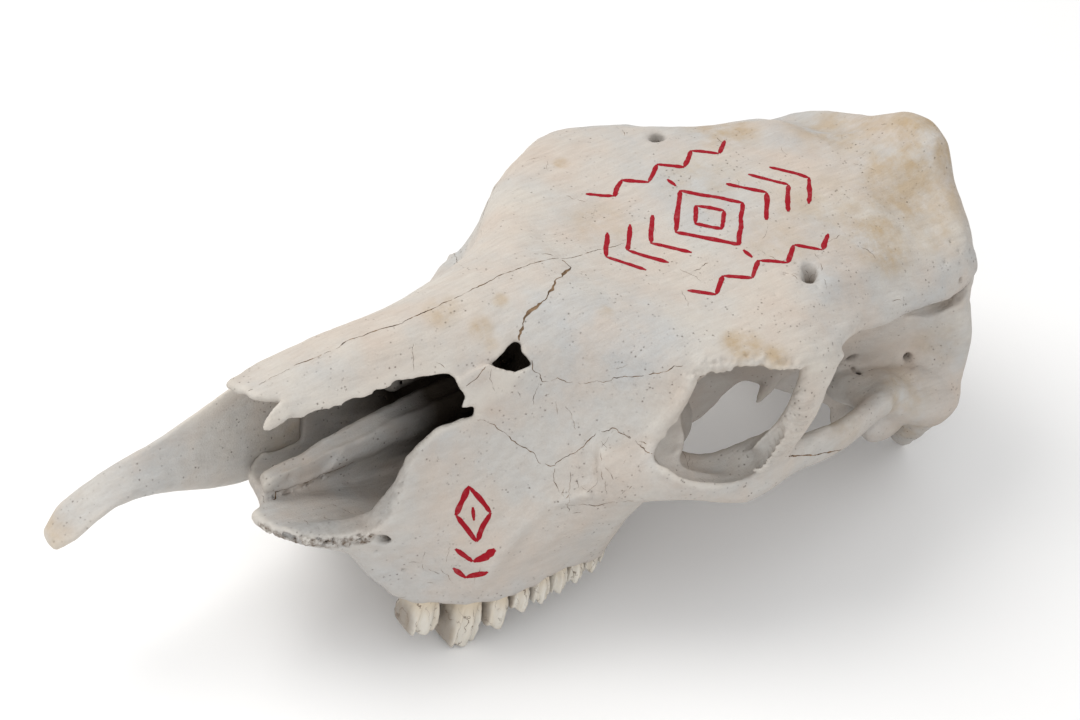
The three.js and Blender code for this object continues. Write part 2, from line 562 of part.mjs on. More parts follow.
const skull = new THREE.Group();
for (const [name, bone] of Object.entries(bones)) {
  const mesh = new THREE.Mesh(asGeometry(bone), boneMaterial(name));
  mesh.name = name;
  skull.add(mesh);
}

// Lowest point of the skull, in front of or behind a place, when it is pitched nose up.
function lowest(pitch, keeps) {
  const [c, s] = [Math.cos(pitch), Math.sin(pitch)];
  let low = Infinity;
  for (const mesh of skull.children) {
    const p = mesh.geometry.attributes.position;
    for (let i = 0; i < p.count; i++) {
      if (keeps(p.getY(i))) low = Math.min(low, c * p.getZ(i) - s * p.getY(i));
    }
  }
  return low;
}

// At rest the teeth and the rear processes touch the floor together
function restPitch() {
  let [flat, steep] = [0, 0.5];
  for (let i = 0; i < 40; i++) {
    const pitch = (flat + steep) / 2;
    const nosed = lowest(pitch, (y) => y < -200);
    const heeled = lowest(pitch, (y) => y > -60);
    if (nosed < heeled) flat = pitch;
    else steep = pitch;
  }
  return (flat + steep) / 2;
}

// The skull laid down: lowest point on the floor, box centred over the origin
skull.rotation.x = -restPitch();
const part = new THREE.Group();
part.add(skull);
part.updateMatrixWorld(true);
const box = new THREE.Box3().setFromObject(part, true);
skull.position.set(-(box.min.x + box.max.x) / 2, -(box.min.y + box.max.y) / 2, -box.min.z);
export default part;
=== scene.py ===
"""The weathered cranium of a hornless cow, as a still museum model.

The solid bones of the frame are merged into one distance field, smoothed, and carved like clay with
crests, broken edges and holes. The teeth, the cracks and the paint are set on that. Sizes are
millimetres in the head's own frame: +X is the animal's left, -Y points out of the nose and z = 0 is
near the chewing surface. Objects are made in metres in the frame of the solids, where the skull lies
on the floor.
"""
import math

import bpy
import numpy as np
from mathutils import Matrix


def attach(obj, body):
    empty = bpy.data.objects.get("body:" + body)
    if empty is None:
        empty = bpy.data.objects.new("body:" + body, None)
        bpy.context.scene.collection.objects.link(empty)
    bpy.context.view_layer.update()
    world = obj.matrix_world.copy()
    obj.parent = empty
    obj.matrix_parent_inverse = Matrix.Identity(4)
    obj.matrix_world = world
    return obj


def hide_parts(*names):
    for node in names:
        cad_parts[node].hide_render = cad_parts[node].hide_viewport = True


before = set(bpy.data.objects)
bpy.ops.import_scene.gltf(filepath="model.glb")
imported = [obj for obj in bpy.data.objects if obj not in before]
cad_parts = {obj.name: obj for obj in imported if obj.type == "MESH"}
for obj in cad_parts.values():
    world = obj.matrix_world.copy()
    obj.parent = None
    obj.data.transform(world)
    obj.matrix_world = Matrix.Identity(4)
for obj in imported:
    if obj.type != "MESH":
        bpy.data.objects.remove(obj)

import openvdb
from bpy.props import FloatProperty, FloatVectorProperty, IntProperty, PointerProperty
from mathutils import Matrix, Vector
from mathutils.bvhtree import BVHTree

bl_info = {
    "name": "Cow Skull",
    "version": (1, 0, 0),
    "blender": (4, 5, 0),
    "location": "3D View > Sidebar > Skull",
    "description": "Weathered cow cranium with its teeth, cracks and painted ornament",
    "category": "Add Mesh",
}

# How the head lies in the frame of the solids
HEAD_PITCH = math.radians(7.29337)
HEAD_SHIFT = np.array([0.0, 239.149, -23.201])

# The viewpoint, in the head's frame
EYE_AT = (886.3, -1081.3, 970.8)
EYE_BACK = (0.5919, -0.5588, 0.5808)
EYE_RIGHT = (0.5624, 0.8026, 0.199)
EYE_UP = (-0.5774, 0.2088, 0.7893)
LENS_MM = 98.38

SIDES = (("left", 1), ("right", -1))


def to_frame(points):
    """Head frame in millimetres to the frame of the solids in metres."""
    p = np.asarray(points, float)
    c, s = math.cos(HEAD_PITCH), math.sin(HEAD_PITCH)
    laid = np.stack([p[..., 0], c * p[..., 1] + s * p[..., 2], -s * p[..., 1] + c * p[..., 2]], -1)
    return (laid + HEAD_SHIFT) / 1000


def to_head(points):
    """Frame of the solids in metres to the head frame in millimetres."""
    p = np.asarray(points, float) * 1000 - HEAD_SHIFT
    c, s = math.cos(HEAD_PITCH), math.sin(HEAD_PITCH)
    return np.stack([p[..., 0], c * p[..., 1] - s * p[..., 2], s * p[..., 1] + c * p[..., 2]], -1)


# Numbers


def curve(pairs):
    """Piecewise linear curve through (place, value) pairs."""
    places, values = zip(*pairs)
    return lambda at: np.interp(at, places, values)


def step01(value, low, high):
    """0 below low, 1 above high, smooth between."""
    t = np.clip((value - low) / (high - low), 0, 1)
    return t * t * (3 - 2 * t)


# Large primes that scramble a cell's place and a seed into one number
SCRAMBLE = (73856093, 19349663, 83492791, 9176213)
SCRAMBLE_AGAIN = 1274126177


def noise(points, size, seed=0):
    """Smooth noise from -1 to 1 at an array of points, with features of about the given size."""
    p = np.asarray(points, np.float32) / size
    cell = np.floor(p)
    t = p - cell
    t = t * t * (3 - 2 * t)
    cell = cell.astype(np.int64)
    low = cell.reshape(-1, 3).min(0)
    shape = cell.reshape(-1, 3).max(0) - low + 2
    x, y, z = np.ogrid[tuple(slice(int(a), int(a + n)) for a, n in zip(low, shape))]
    key = sum(part * prime for part, prime in zip((x, y, z, seed), SCRAMBLE))
    key = (key ^ key >> 13) * SCRAMBLE_AGAIN
    lattice = (((key ^ key >> 16) & 0xFFFF) / 32767.5 - 1).astype(np.float32).ravel()
    cell -= low
    at = (cell[..., 0] * shape[1] + cell[..., 1]) * shape[2] + cell[..., 2]
    total = 0
    for i in (0, 1):
        for j in (0, 1):
            share = (t[..., 0] if i else 1 - t[..., 0]) * (t[..., 1] if j else 1 - t[..., 1])
            row = at + (i * shape[1] + j) * shape[2]
            total = total + share * (lattice[row] * (1 - t[..., 2]) + lattice[row + 1] * t[..., 2])
    return total


def layered_noise(points, size, seed=0, layers=3):
    """Sum of noises, each half the size and half the strength of the one before."""
    return sum(noise(points, size / 2**k, seed + k) / 2**k for k in range(layers))


def ragged(points, size, strength, seed):
    """Points pushed about by noise, so that what is cut through them has a broken edge."""
    shift = np.stack([layered_noise(points, size, seed + 40 * k, 2) for k in range(3)], -1)
    return points + strength * shift


# Distance fields


class Clay:
    """A distance field on a grid in the head's frame, in millimetres and negative inside."""

    def __init__(self, low, high, voxel, band):
        self.voxel = voxel
        self.first = np.floor(np.asarray(low) / voxel).astype(int)
        shape = np.ceil(np.asarray(high) / voxel).astype(int) - self.first + 1
        self.far = band * voxel
        self.field = np.full(shape, self.far, np.float32)

    def add_mesh(self, points, faces, swell=0.0):
        """Join a closed triangle or quad mesh, grown by a small swell."""
        kind = "triangles" if faces.shape[1] == 3 else "quads"
        grid = openvdb.FloatGrid.createLevelSetFromPolygons(
            points=np.ascontiguousarray(points, np.float32),
            transform=openvdb.createLinearTransform(voxelSize=self.voxel),
            halfWidth=self.far / self.voxel,
            **{kind: np.ascontiguousarray(faces, np.uint32)},
        )
        part = np.empty_like(self.field)
        grid.copyToArray(part, ijk=tuple(int(v) for v in self.first))
        np.minimum(self.field, part - swell, out=self.field)

    def window(self, low, high):
        """Slices and coordinates of the part of the grid between two corners."""
        a = np.maximum(np.floor(np.asarray(low) / self.voxel).astype(int) - self.first, 0)
        b = np.minimum(np.ceil(np.asarray(high) / self.voxel).astype(int) - self.first + 1,
                       self.field.shape)
        axes = [(np.arange(a[i], b[i]) + self.first[i]) * self.voxel for i in range(3)]
        return tuple(slice(a[i], b[i]) for i in range(3)), np.stack(
            np.meshgrid(*axes, indexing="ij"), -1).astype(np.float32)

    def cut(self, low, high, shape):
        """Take away shape(points), a distance that is negative where the bone goes."""
        place, points = self.window(low, high)
        self.field[place] = np.maximum(self.field[place], -shape(points))

    def join(self, low, high, shape, blend=0.0):
        """Add shape(points), with its crease filled over a blend distance."""
        place, points = self.window(low, high)
        old, new = self.field[place], shape(points)
        both = np.minimum(old, new)
        if blend:
            near = np.clip(blend - np.abs(old - new), 0, None)
            both = both - near * near / (4 * blend)
        self.field[place] = both

    def blur(self, rounds):
        """Soften the field with a small kernel, a number of times."""
        for _ in range(rounds):
            for axis in range(3):
                f = np.moveaxis(self.field, axis, 0)
                f[1:-1] = f[1:-1] * 0.5 + (f[:-2] + f[2:]) * 0.25

    def surface(self):
        """Points and quads of the zero surface, with its loose crumbs dropped."""
        grid = openvdb.FloatGrid(background=self.far)
        grid.copyFromArray(self.field, ijk=tuple(int(v) for v in self.first),
                           tolerance=0.01 * self.voxel)
        grid.transform = openvdb.createLinearTransform(voxelSize=self.voxel)
        points, quads = grid.convertToQuads(isovalue=0.0)
        return largest_piece(points.astype(np.float64), quads.astype(np.int64))


def segments(points, path, radii=None):
    """Distance from points to a path of straight pieces, less the path's own radius."""
    path = np.asarray(path, np.float32)
    best = np.full(points.shape[:-1], 1e6, np.float32)
    for i in range(len(path) - 1):
        a, b = path[i], path[i + 1]
        ab = b - a
        t = np.clip(((points - a) @ ab) / float(ab @ ab), 0, 1)
        away = np.linalg.norm(points - a - t[..., None] * ab, axis=-1)
        if radii is not None:
            away = away - (radii[i] * (1 - t) + radii[i + 1] * t)
        best = np.minimum(best, away)
    return best


def outline(points, polygon, axes):
    """Distance to a flat polygon in two of the three axes, negative inside it."""
    u, v = points[..., axes[0]], points[..., axes[1]]
    away = np.full(u.shape, 1e6, np.float32)
    inside = np.zeros(u.shape, bool)
    ring = np.asarray(polygon, np.float32)
    for (ua, va), (ub, vb) in zip(ring, np.roll(ring, -1, 0)):
        du, dv = ub - ua, vb - va
        t = np.clip(((u - ua) * du + (v - va) * dv) / (du * du + dv * dv), 0, 1)
        away = np.minimum(away, np.hypot(u - ua - t * du, v - va - t * dv))
        crosses = (va > v) != (vb > v)
        if dv:
            inside ^= crosses & (u < du * (v - va) / dv + ua)
    return np.where(inside, -away, away)


def near_path(points, path):
    """Distance from points to a path, and how far along it the nearest place is."""
    path = np.asarray(path, float)
    best, along, gone = np.full(len(points), 1e6), np.zeros(len(points)), 0.0
    for a, b in zip(path[:-1], path[1:]):
        ab = b - a
        long = np.linalg.norm(ab)
        t = np.clip((points - a) @ ab / long**2, 0, 1)
        away = np.linalg.norm(points - a - t[:, None] * ab, axis=1)
        closer = away < best
        best[closer], along[closer] = away[closer], (gone + t * long)[closer]
        gone += long
    return best, along


def sample(grid, at):
    """Values of a grid between its cells."""
    low = np.clip(np.floor(at).astype(int), 0, np.array(grid.shape) - 2)
    t = np.clip(at - low, 0, 1)
    total = np.zeros(len(at))
    for corner in range(8):
        step = np.array([corner & 1, corner >> 1 & 1, corner >> 2 & 1])
        total += grid[tuple((low + step).T)] * np.where(step, t, 1 - t).prod(-1)
    return total


def hollowness(clay, points, reach):
    """How much bone lies round each point: 0 on a free edge, 0.5 on a flat, 1 deep in a hollow."""
    step = 3
    solid = np.clip(0.5 - clay.field[::step, ::step, ::step] / (2 * clay.voxel), 0, 1)
    cell = clay.voxel * step
    for _ in range(max(1, round((reach / cell) ** 2))):
        for axis in range(3):
            f = np.moveaxis(solid, axis, 0)
            f[1:-1] = f[1:-1] * 0.4 + (f[:-2] + f[2:]) * 0.3
    return sample(solid, points / cell - clay.first / step)


def tube(path, radii, ragging=None):
    """A shape that follows a path with a radius at each point, with its skin ragged if asked."""
    return lambda p: segments(ragged(p, *ragging) if ragging else p, path, radii)


def around(path, margin):
    """The two corners of a box round a path."""
    return np.min(path, 0) - margin, np.max(path, 0) + margin


def mirrored(path, side):
    """A path of the left side, on the side asked for."""
    return np.array(path, float) * (side, 1, 1)


def largest_piece(points, quads):
    """Keep only the biggest connected part of a mesh."""
    a, b = quads[:, [0, 1, 2]].ravel(), quads[:, [1, 2, 3]].ravel()
    label = np.arange(len(points))
    while True:
        before = label.copy()
        low = np.minimum(label[a], label[b])
        np.minimum.at(label, a, low)
        np.minimum.at(label, b, low)
        for _ in range(4):
            label = label[label]
        if (label == before).all():
            break
    names, sizes = np.unique(label, return_counts=True)
    kept = label == names[sizes.argmax()]
    number = np.cumsum(kept) - 1
    return points[kept], number[quads[kept[quads[:, 0]]]]


def edges_of(quads):
    """The unique edges of a mesh of quads."""
    pairs = np.sort(np.concatenate([quads[:, [i, (i + 1) % 4]] for i in range(4)]), 1)
    keys = np.unique(pairs[:, 0] * (pairs.max() + 1) + pairs[:, 1])
    return keys // (pairs.max() + 1), keys % (pairs.max() + 1)


# How far each half of a smoothing round moves a point towards its neighbours
PULL_IN, LET_OUT = 0.5, -0.52


def fair(points, quads, rounds, hold=0.0):
    """Smooth a mesh without shrinking it: each round pulls it in and then lets it out."""
    a, b = edges_of(quads)
    n = len(points)
    free = 1 - np.broadcast_to(hold, n)
    degree = np.bincount(a, minlength=n) + np.bincount(b, minlength=n)
    for _ in range(rounds):
        for step in (PULL_IN, LET_OUT):
            for k in range(3):
                p = points[:, k]
                beside = np.bincount(a, p[b], n) + np.bincount(b, p[a], n)
                points[:, k] = p + step * free * (beside / degree - p)
    return points


def normals_of(points, quads):
    """Unit normals at the points of a mesh of quads."""
    p = points[quads]
    cross = np.cross(p[:, 2] - p[:, 0], p[:, 3] - p[:, 1])
    total = np.zeros_like(points)
    for k in range(3):
        for corner in range(4):
            total[:, k] += np.bincount(quads[:, corner], cross[:, k], len(points))
    return total / np.maximum(np.linalg.norm(total, axis=1, keepdims=True), 1e-12)


def turned(points, quads):
    """Whether a closed mesh is inside out."""
    p = points[quads]
    return (np.cross(p[:, 1] - p[:, 0], p[:, 2] - p[:, 0]) * p[:, 0]).sum() < 0


# Objects


def new_object(name, points, quads, material, masks=None):
    """A smooth mesh object from head-frame points, with its masks as point attributes."""
    mesh = bpy.data.meshes.new(name)
    mesh.vertices.add(len(points))
    mesh.vertices.foreach_set("co", to_frame(points).astype(np.float32).ravel())
    mesh.loops.add(quads.size)
    mesh.loops.foreach_set("vertex_index", quads.astype(np.int32).ravel())
    mesh.polygons.add(len(quads))
    mesh.polygons.foreach_set("loop_start", np.arange(0, quads.size, 4, dtype=np.int32))
    mesh.polygons.foreach_set("use_smooth", np.full(len(quads), True))
    mesh.update(calc_edges=True)
    mesh.validate()
    for key, values in (masks or {}).items():
        layer = mesh.attributes.new(key, "FLOAT", "POINT")
        layer.data.foreach_set("value", np.asarray(values, np.float32))
    mesh.materials.append(material)
    obj = bpy.data.objects.new(name, mesh)
    bpy.context.scene.collection.objects.link(obj)
    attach(obj, "root")
    return obj


def head_points(mesh):
    """A mesh's points in the head's frame."""
    points = np.empty(len(mesh.vertices) * 3, np.float32)
    mesh.vertices.foreach_get("co", points)
    return to_head(points.reshape(-1, 3))


def solid_mesh(node):
    """Head-frame points and triangles of a solid of the frame."""
    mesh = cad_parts[node].data
    mesh.calc_loop_triangles()
    faces = np.empty(len(mesh.loop_triangles) * 3, np.int32)
    mesh.loop_triangles.foreach_get("vertices", faces)
    rounded, same = np.unique(np.round(head_points(mesh), 3), axis=0, return_inverse=True)
    faces = same.reshape(-1)[faces.reshape(-1, 3)]
    whole = (faces[:, 0] != faces[:, 1]) & (faces[:, 1] != faces[:, 2]) & (faces[:, 0] != faces[:, 2])
    return rounded, faces[whole]


# Materials


def colour_setting(name, description, default):
    """A colour in a group of settings."""
    return FloatVectorProperty(name=name, description=description, default=default,
                               subtype="COLOR", min=0, max=1)


def group_socket(tree, name, kind, default=None, output=False):
    """One named socket on a node group's outside."""
    made = tree.interface.new_socket(name=name, in_out="OUTPUT" if output else "INPUT",
                                     socket_type="NodeSocket" + kind)
    if default is not None:
        made.default_value = default


class Web:
    """Short calls for building nodes in a tree."""

    def __init__(self, tree):
        self.tree = tree

    def put(self, value, socket):
        """Link a socket, or set a plain value."""
        if isinstance(value, bpy.types.NodeSocket):
            self.tree.links.new(value, socket)
        elif value is not None:
            socket.default_value = value

    def node(self, kind, inputs=None, **settings):
        """A shader node with its settings and inputs."""
        made = self.tree.nodes.new("ShaderNode" + kind)
        for key, value in settings.items():
            setattr(made, key, value)
        for key, value in (inputs or {}).items():
            self.put(value, made.inputs[key])
        return made

    def maths(self, operation, *values, clamp=False):
        """The outcome of a sum on values or sockets."""
        made = self.node("Math", operation=operation, use_clamp=clamp)
        for socket, value in zip(made.inputs, values):
            self.put(value, socket)
        return made.outputs[0]

    def ramp(self, value, low, high, to_low=0.0, to_high=1.0):
        """A value's range from low to high, laid on another range."""
        return self.node("MapRange", {"Value": value, "From Min": low, "From Max": high,
                                      "To Min": to_low, "To Max": to_high}).outputs[0]

    def noise(self, position, scale, detail=3.0, roughness=0.55, stretch=None):
        """A noise texture, stretched along the axes if asked."""
        if stretch:
            position = self.node("Mapping", {"Vector": position, "Scale": stretch}).outputs[0]
        return self.node("TexNoise", {"Vector": position, "Scale": scale, "Detail": detail,
                                      "Roughness": roughness}).outputs["Fac"]

    def tint(self, colour, other, share):
        """One colour with a share of another."""
        made = self.node("Mix", data_type="RGBA", clamp_factor=True)
        self.put(share, made.inputs[0])
        self.put(colour, made.inputs[6])
        self.put(other, made.inputs[7])
        return made.outputs[2]

    def mask(self, name):
        """A point attribute of the mesh."""
        return self.node("Attribute", attribute_name=name).outputs["Fac"]


def grain_group():
    """Fine pitted and streaked grain of dry bone."""
    tree = bpy.data.node_groups.get("bone_grain")
    if tree:
        return tree
    tree = bpy.data.node_groups.new("bone_grain", "ShaderNodeTree")
    group_socket(tree, "Position", "Vector")
    group_socket(tree, "Pitting", "Float", 1.0)
    group_socket(tree, "Streaks", "Float", 1.0)
    group_socket(tree, "Height", "Float", output=True)
    group_socket(tree, "Speckle", "Float", output=True)
    web = Web(tree)
    given = tree.nodes.new("NodeGroupInput").outputs
    out = tree.nodes.new("NodeGroupOutput").inputs
    fine = web.noise(given["Position"], 900.0, 4.0, 0.65)
    streaks = web.noise(given["Position"], 420.0, 3.0, 0.6, (1.0, 0.16, 0.6))
    pores = web.node("TexVoronoi", {"Vector": given["Position"], "Scale": 330.0,
                                    "Randomness": 1.0}).outputs["Distance"]
    pore = web.ramp(pores, 0.05, 0.22, 1.0, 0.0)
    where = web.ramp(web.noise(given["Position"], 60.0, 2.0), 0.42, 0.62)
    pit = web.maths("MULTIPLY", web.maths("MULTIPLY", pore, where), given["Pitting"])
    height = web.maths("ADD", web.maths("MULTIPLY", fine, 0.5),
                       web.maths("MULTIPLY", streaks, given["Streaks"]))
    web.put(web.maths("SUBTRACT", height, pit), out["Height"])
    web.put(pit, out["Speckle"])
    return tree


def stain_group():
    """Cloudy patches of another colour, kept to where a mask lets them show."""
    tree = bpy.data.node_groups.get("cloudy_stain")
    if tree:
        return tree
    tree = bpy.data.node_groups.new("cloudy_stain", "ShaderNodeTree")
    group_socket(tree, "Position", "Vector")
    group_socket(tree, "Colour", "Color", (0.7, 0.66, 0.6, 1))
    group_socket(tree, "Stain", "Color", (0.6, 0.45, 0.2, 1))
    group_socket(tree, "Scale", "Float", 30.0)
    group_socket(tree, "Mask", "Float", 1.0)
    group_socket(tree, "Spread", "Float", 0.5)
    group_socket(tree, "Colour", "Color", output=True)
    group_socket(tree, "Amount", "Float", output=True)
    web = Web(tree)
    given = tree.nodes.new("NodeGroupInput").outputs
    out = tree.nodes.new("NodeGroupOutput").inputs
    cloud = web.noise(given["Position"], given["Scale"], 5.0, 0.6)
    low = web.maths("SUBTRACT", 0.75, given["Spread"])
    amount = web.node("MapRange", {"Value": cloud, "From Min": low, "From Max":
                                   web.maths("ADD", low, 0.3)}).outputs[0]
    amount = web.maths("MULTIPLY", amount, given["Mask"], clamp=True)
    web.put(web.tint(given["Colour"], given["Stain"], amount), out["Colour"])
    web.put(amount, out["Amount"])
    return tree


def use(web, tree, **inputs):
    """Place a node group and set or link its named inputs."""
    made = web.node("Group", node_tree=tree)
    for key, value in inputs.items():
        web.put(value, made.inputs[key])
    return made.outputs


def new_material(name):
    """A material with its web and its surface's inputs, or the one that is there already."""
    made = bpy.data.materials.get(name)
    if made:
        return made, None, None
    made = bpy.data.materials.new(name)
    made.use_nodes = True
    web = Web(made.node_tree)
    return made, web, made.node_tree.nodes["Principled BSDF"].inputs


def rgb(colour):
    """A colour with full alpha."""
    return (*colour, 1.0)


def bone_material(settings):
    """Dry bone: cream where it is proud, painted shade low down, in hollows and in the nose, ochre
    stains, dark pores.
    """
    made, web, surface = new_material("weathered_bone")
    if web is None:
        return made
    position = web.node("TexCoord").outputs["Object"]
    cool = web.mask("cool")
    colour = use(web, stain_group(), Position=position, Colour=rgb(settings.pale),
                 Stain=rgb(settings.cool), Scale=16.0, Spread=0.42)["Colour"]
    # Painted shade: greyer and darker towards the bottom.
    colour = web.tint(colour, rgb(settings.cool), web.maths("MULTIPLY", cool, 0.45))
    colour = use(web, stain_group(), Position=position, Colour=colour, Stain=rgb(settings.rosy),
                 Scale=26.0, Spread=0.34)["Colour"]
    colour = use(web, stain_group(), Position=position, Colour=colour, Stain=rgb(settings.ochre),
                 Scale=75.0, Mask=web.mask("ochre"), Spread=0.42)["Colour"]
    grain = use(web, grain_group(), Position=position, Pitting=1.0, Streaks=1.0)
    mottle = web.ramp(grain["Height"], 0.3, 1.0, 0.0, 0.34)
    colour = web.tint(colour, rgb(settings.hollow), mottle)
    colour = web.tint(colour, rgb(settings.pale), web.maths("MULTIPLY", web.mask("edge"), 0.6))
    # Painted shade: darker in hollows, on the inner walls of the eye sockets and under downward faces.
    colour = web.tint(colour, rgb(settings.hollow), web.maths("MULTIPLY", web.mask("hollow"), 0.75))
    colour = web.tint(colour, rgb(settings.dirt), web.maths("MULTIPLY", grain["Speckle"], 0.75))
    colour = use(web, stain_group(), Position=position, Colour=colour, Stain=rgb(settings.dirt),
                 Scale=420.0, Mask=web.mask("broken"), Spread=0.36)["Colour"]
    # Painted shade: near black on the walls deep in the nose.
    colour = web.tint(colour, rgb(settings.painted_nose_shade), web.mask("inside"))
    web.put(colour, surface["Base Color"])
    rough = web.ramp(web.noise(position, 90.0), 0.3, 0.7, settings.roughness - 0.08,
                     settings.roughness + 0.06)
    web.put(rough, surface["Roughness"])
    bump = web.node("Bump", {"Height": grain["Height"], "Strength": 0.55, "Distance": 0.0009})
    web.put(bump.outputs[0], surface["Normal"])
    surface["Specular IOR Level"].default_value = 0.25
    return made


# Places on the skull, in the head's frame

MERGED = ["frontal", "braincase", "occipital", "vomer"] + [
    f"{bone}_{side}" for bone in ("nasal", "lacrimal", "zygomatic", "maxilla", "temporal")
    for side, _ in SIDES]

# The box that the cranium is carved in, the cell of its rough grid, how many cells a distance field
# reaches on each side of the bone, and how far the bones swell to meet over their gaps
CRANIUM_BOX = (-122, -436, -22), (122, 14, 218)
ROUGH_CELL = 2.4
BAND = 4
SEAM_SWELL = 0.25

# Broken edges: the side opening in y-z, the nasal tips and the palate in x-y
SIDE_OPENING = [(-445, 118.5), (-428, 120.5), (-409, 124), (-385, 127), (-367, 129.5), (-350, 133.5),
                (-326, 134), (-320.5, 129), (-324.5, 120), (-315, 122), (-318, 117), (-312.5, 112),
                (-320, 110), (-332, 108), (-338, 103), (-348, 94), (-353, 86), (-360, 77), (-371, 65),
                (-400, 60.5), (-445, 60.5)]
NASAL_FRONT = [(-60, -445), (-60, -424), (-19, -424), (-11, -426), (0, -424), (5, -421), (11, -412),
               (15, -411), (18, -418), (21, -428), (26, -427), (60, -427), (60, -445)]
PALATE_FRONT = [(-60, -445), (-60, -380), (-31, -386), (-20, -398), (-4, -400), (2, -402), (6, -412),
                (18, -411), (32, -402), (60, -390), (60, -445)]

# The small gap and the thin plate under it, seen along the view from GAP_AT
GAP_AT = (33, -300, 142)
SMALL_GAP = [(-6.8, -3.6), (-3.0, -5.5), (5.2, -7.9), (13.9, -4.5), (11.5, 0.3), (9.1, 2.2),
             (8.6, 6.6), (5.7, 7.5), (2.3, 5.6), (-1.5, 0.8)]
PLATE = [(-22.8, -11.8), (-15.0, -6.9), (-7.3, -3.3), (-3.0, -5.3), (5.2, -7.7), (13.9, -4.5),
         (22.6, -10.3), (17.7, -33.0), (0.9, -40.2), (-9.7, -33.9), (-11.7, -28.1), (-13.1, -23.8),
         (-21.3, -25.5), (-18.4, -19.0), (-21.3, -15.1)]

# A point of the plate, how far it leans towards the left along y and z, how much shorter the way
# across it is than the way along x, and half its thickness
PLATE_AT = (39.3, -300, 120)
PLATE_LEAN = (0.297, -0.166)
PLATE_ACROSS = 0.94
PLATE_HALF = 1.1

# The thin prong at the tip of the left nasal bone, and the chamber at the nose's dark side
PRONG = [(16, -411, 128.5), (18, -415, 127), (20, -421.5, 124.5), (21.5, -426, 122.5)]
PRONG_SLOPE = (0.5, 0.0, 0.86)
NOSE_CHAMBER = [(-33, -303, 80), (-29, -290, 90), (-22, -276, 98)]

# A point on the line that runs down the middle of the nose
NOSE_MIDDLE = (-2.0, 0.0, 102.0)

# The blade on the nose's floor with its radii, the furrow beside it, and two thin scrolls behind it
BLADE = [(-4, -405, 62), (-4, -396, 64), (-4, -380, 66), (-5, -358, 71), (-5, -335, 77),
         (-5, -311, 82), (-5, -285, 88), (-5, -266, 96)]
BLADE_RADII = [3, 5, 7, 8.5, 9.5, 10.5, 10.5, 10]
BLADE_NOTCH = [(-1, -388, 66), (8, -391, 65)]
FURROW = [(8, -350, 66), (9, -335, 69), (10, -318, 75), (12, -300, 84)]
LEFT_SCROLL = [(22, -318, 84), (22, -306, 92), (20, -290, 100), (16, -275, 108)]
RIGHT_SCROLL = [(-26, -316, 92), (-24, -300, 100), (-20, -280, 112)]

# On the left side: the crest over the temporal hollow, from the bar behind the eye to the nape, and
# the rear of that bar
TEMPORAL_LINE = [(107, -156, 150), (98, -136, 154), (90, -121, 151.5), (86, -98, 147), (82, -81, 147),
                 (80, -65, 146.5), (78, -46, 145), (76, -37, 148), (73, -28, 152)]
BAR_REAR = [(115, -152, 128), (113, -149.5, 138), (109.5, -143, 145.5), (103, -134, 148)]

# The front and lower rim of the eye socket, the hollow inside it, and the deeper floor
SOCKET_FRONT = [(86, -226, 148), (86, -226, 141), (85.5, -228, 134), (85, -230, 127), (84, -234, 121),
                (84, -238, 115), (88, -241, 106), (97, -237, 101), (102, -229, 98), (105, -219, 94),
                (107, -209, 92), (107, -200, 90), (106, -190, 91)]
SOCKET_HOLLOW = [(84, -213, 143.5), (84, -214.5, 134), (84, -217, 125), (86, -221.5, 116),
                 (88, -228, 110), (92.1, -234, 106.3), (97.1, -226.9, 103.3), (100.1, -216.9, 99.3),
                 (102.1, -206.9, 97.3), (102.1, -197.9, 95.3), (102, -187, 95.5), (105.5, -186, 101.5),
                 (106.5, -183.5, 107.5), (107.5, -181.5, 113.5), (109, -179.5, 119)]
SOCKET_RADII = [8.5, 8.5, 8, 7.5, 7, 6, 6.8, 7, 7, 7, 6.5, 6, 5, 4.2, 3.4]
SOCKET_FLOOR = [(90, -224, 114), (93, -212, 107), (94, -200, 104), (96, -190, 106)]
# How far out the right rim lies, as a share of the left one
RIGHT_RIM_SHARE = 0.95

# The rear end of the cheek arch, and the ridge that rises over the first teeth
ARCH_END = [(60, -86, 84), (65, -66, 86), (71, -46, 86), (73, -34, 84)]
CHEEK_RIDGE = [(67, -314, 27), (70, -310, 44), (70.5, -303, 56), (69, -294, 65), (70, -282, 74),
               (80, -268, 82)]

# Front edge of the bar behind the left eye, and the upper rim of that eye's socket
BAR_EDGE = [(111, -170, 138), (113, -171, 130), (114, -174, 122), (114, -176, 117), (113, -180, 111),
            (112, -184, 104), (111, -188, 97)]
UPPER_RIM = [(81, -227, 153), (84, -221, 155), (92, -208, 157), (99, -198, 157), (103, -190, 157),
             (107, -181, 150)]

# Splinters of the left eye socket, with their radii
SPLINTERS = [([(38, -111, 90), (38, -116, 76), (38, -120.5, 65)], [5.5, 3.4, 0.4]),
             ([(84, -232, 125), (85, -229, 123), (86, -225, 122)], [2.2, 1.4, 0.3]),
             ([(84, -238, 116), (86, -234, 114.5), (87, -230, 114)], [2.0, 1.2, 0.3])]

# Bare spongy bone in the broken edge of the palate, on the left and in the middle
SPONGY = [(16, -412, 53), (24, -408, 53), (34, -402, 56), (41, -392, 57), (46, -380, 58), (49, -372, 61)]
SPONGY_MIDDLE = [(-1, -399, 57), (-2, -391, 58), (-2, -380, 60), (-1, -369, 61)]

# Half the breadth of the tooth row, and the height of the gum, along y
GUM_HALF = curve([(-353, 50), (-342, 54), (-330, 62), (-317, 67), (-300, 73), (-280, 74), (-255, 72),
                  (-234, 68), (-222, 58)])
GUM_Z = curve([(-353, 19.5), (-342, 13.5), (-320, 14.5), (-300, 16), (-280, 19), (-264, 24),
               (-234, 21), (-222, 36)])

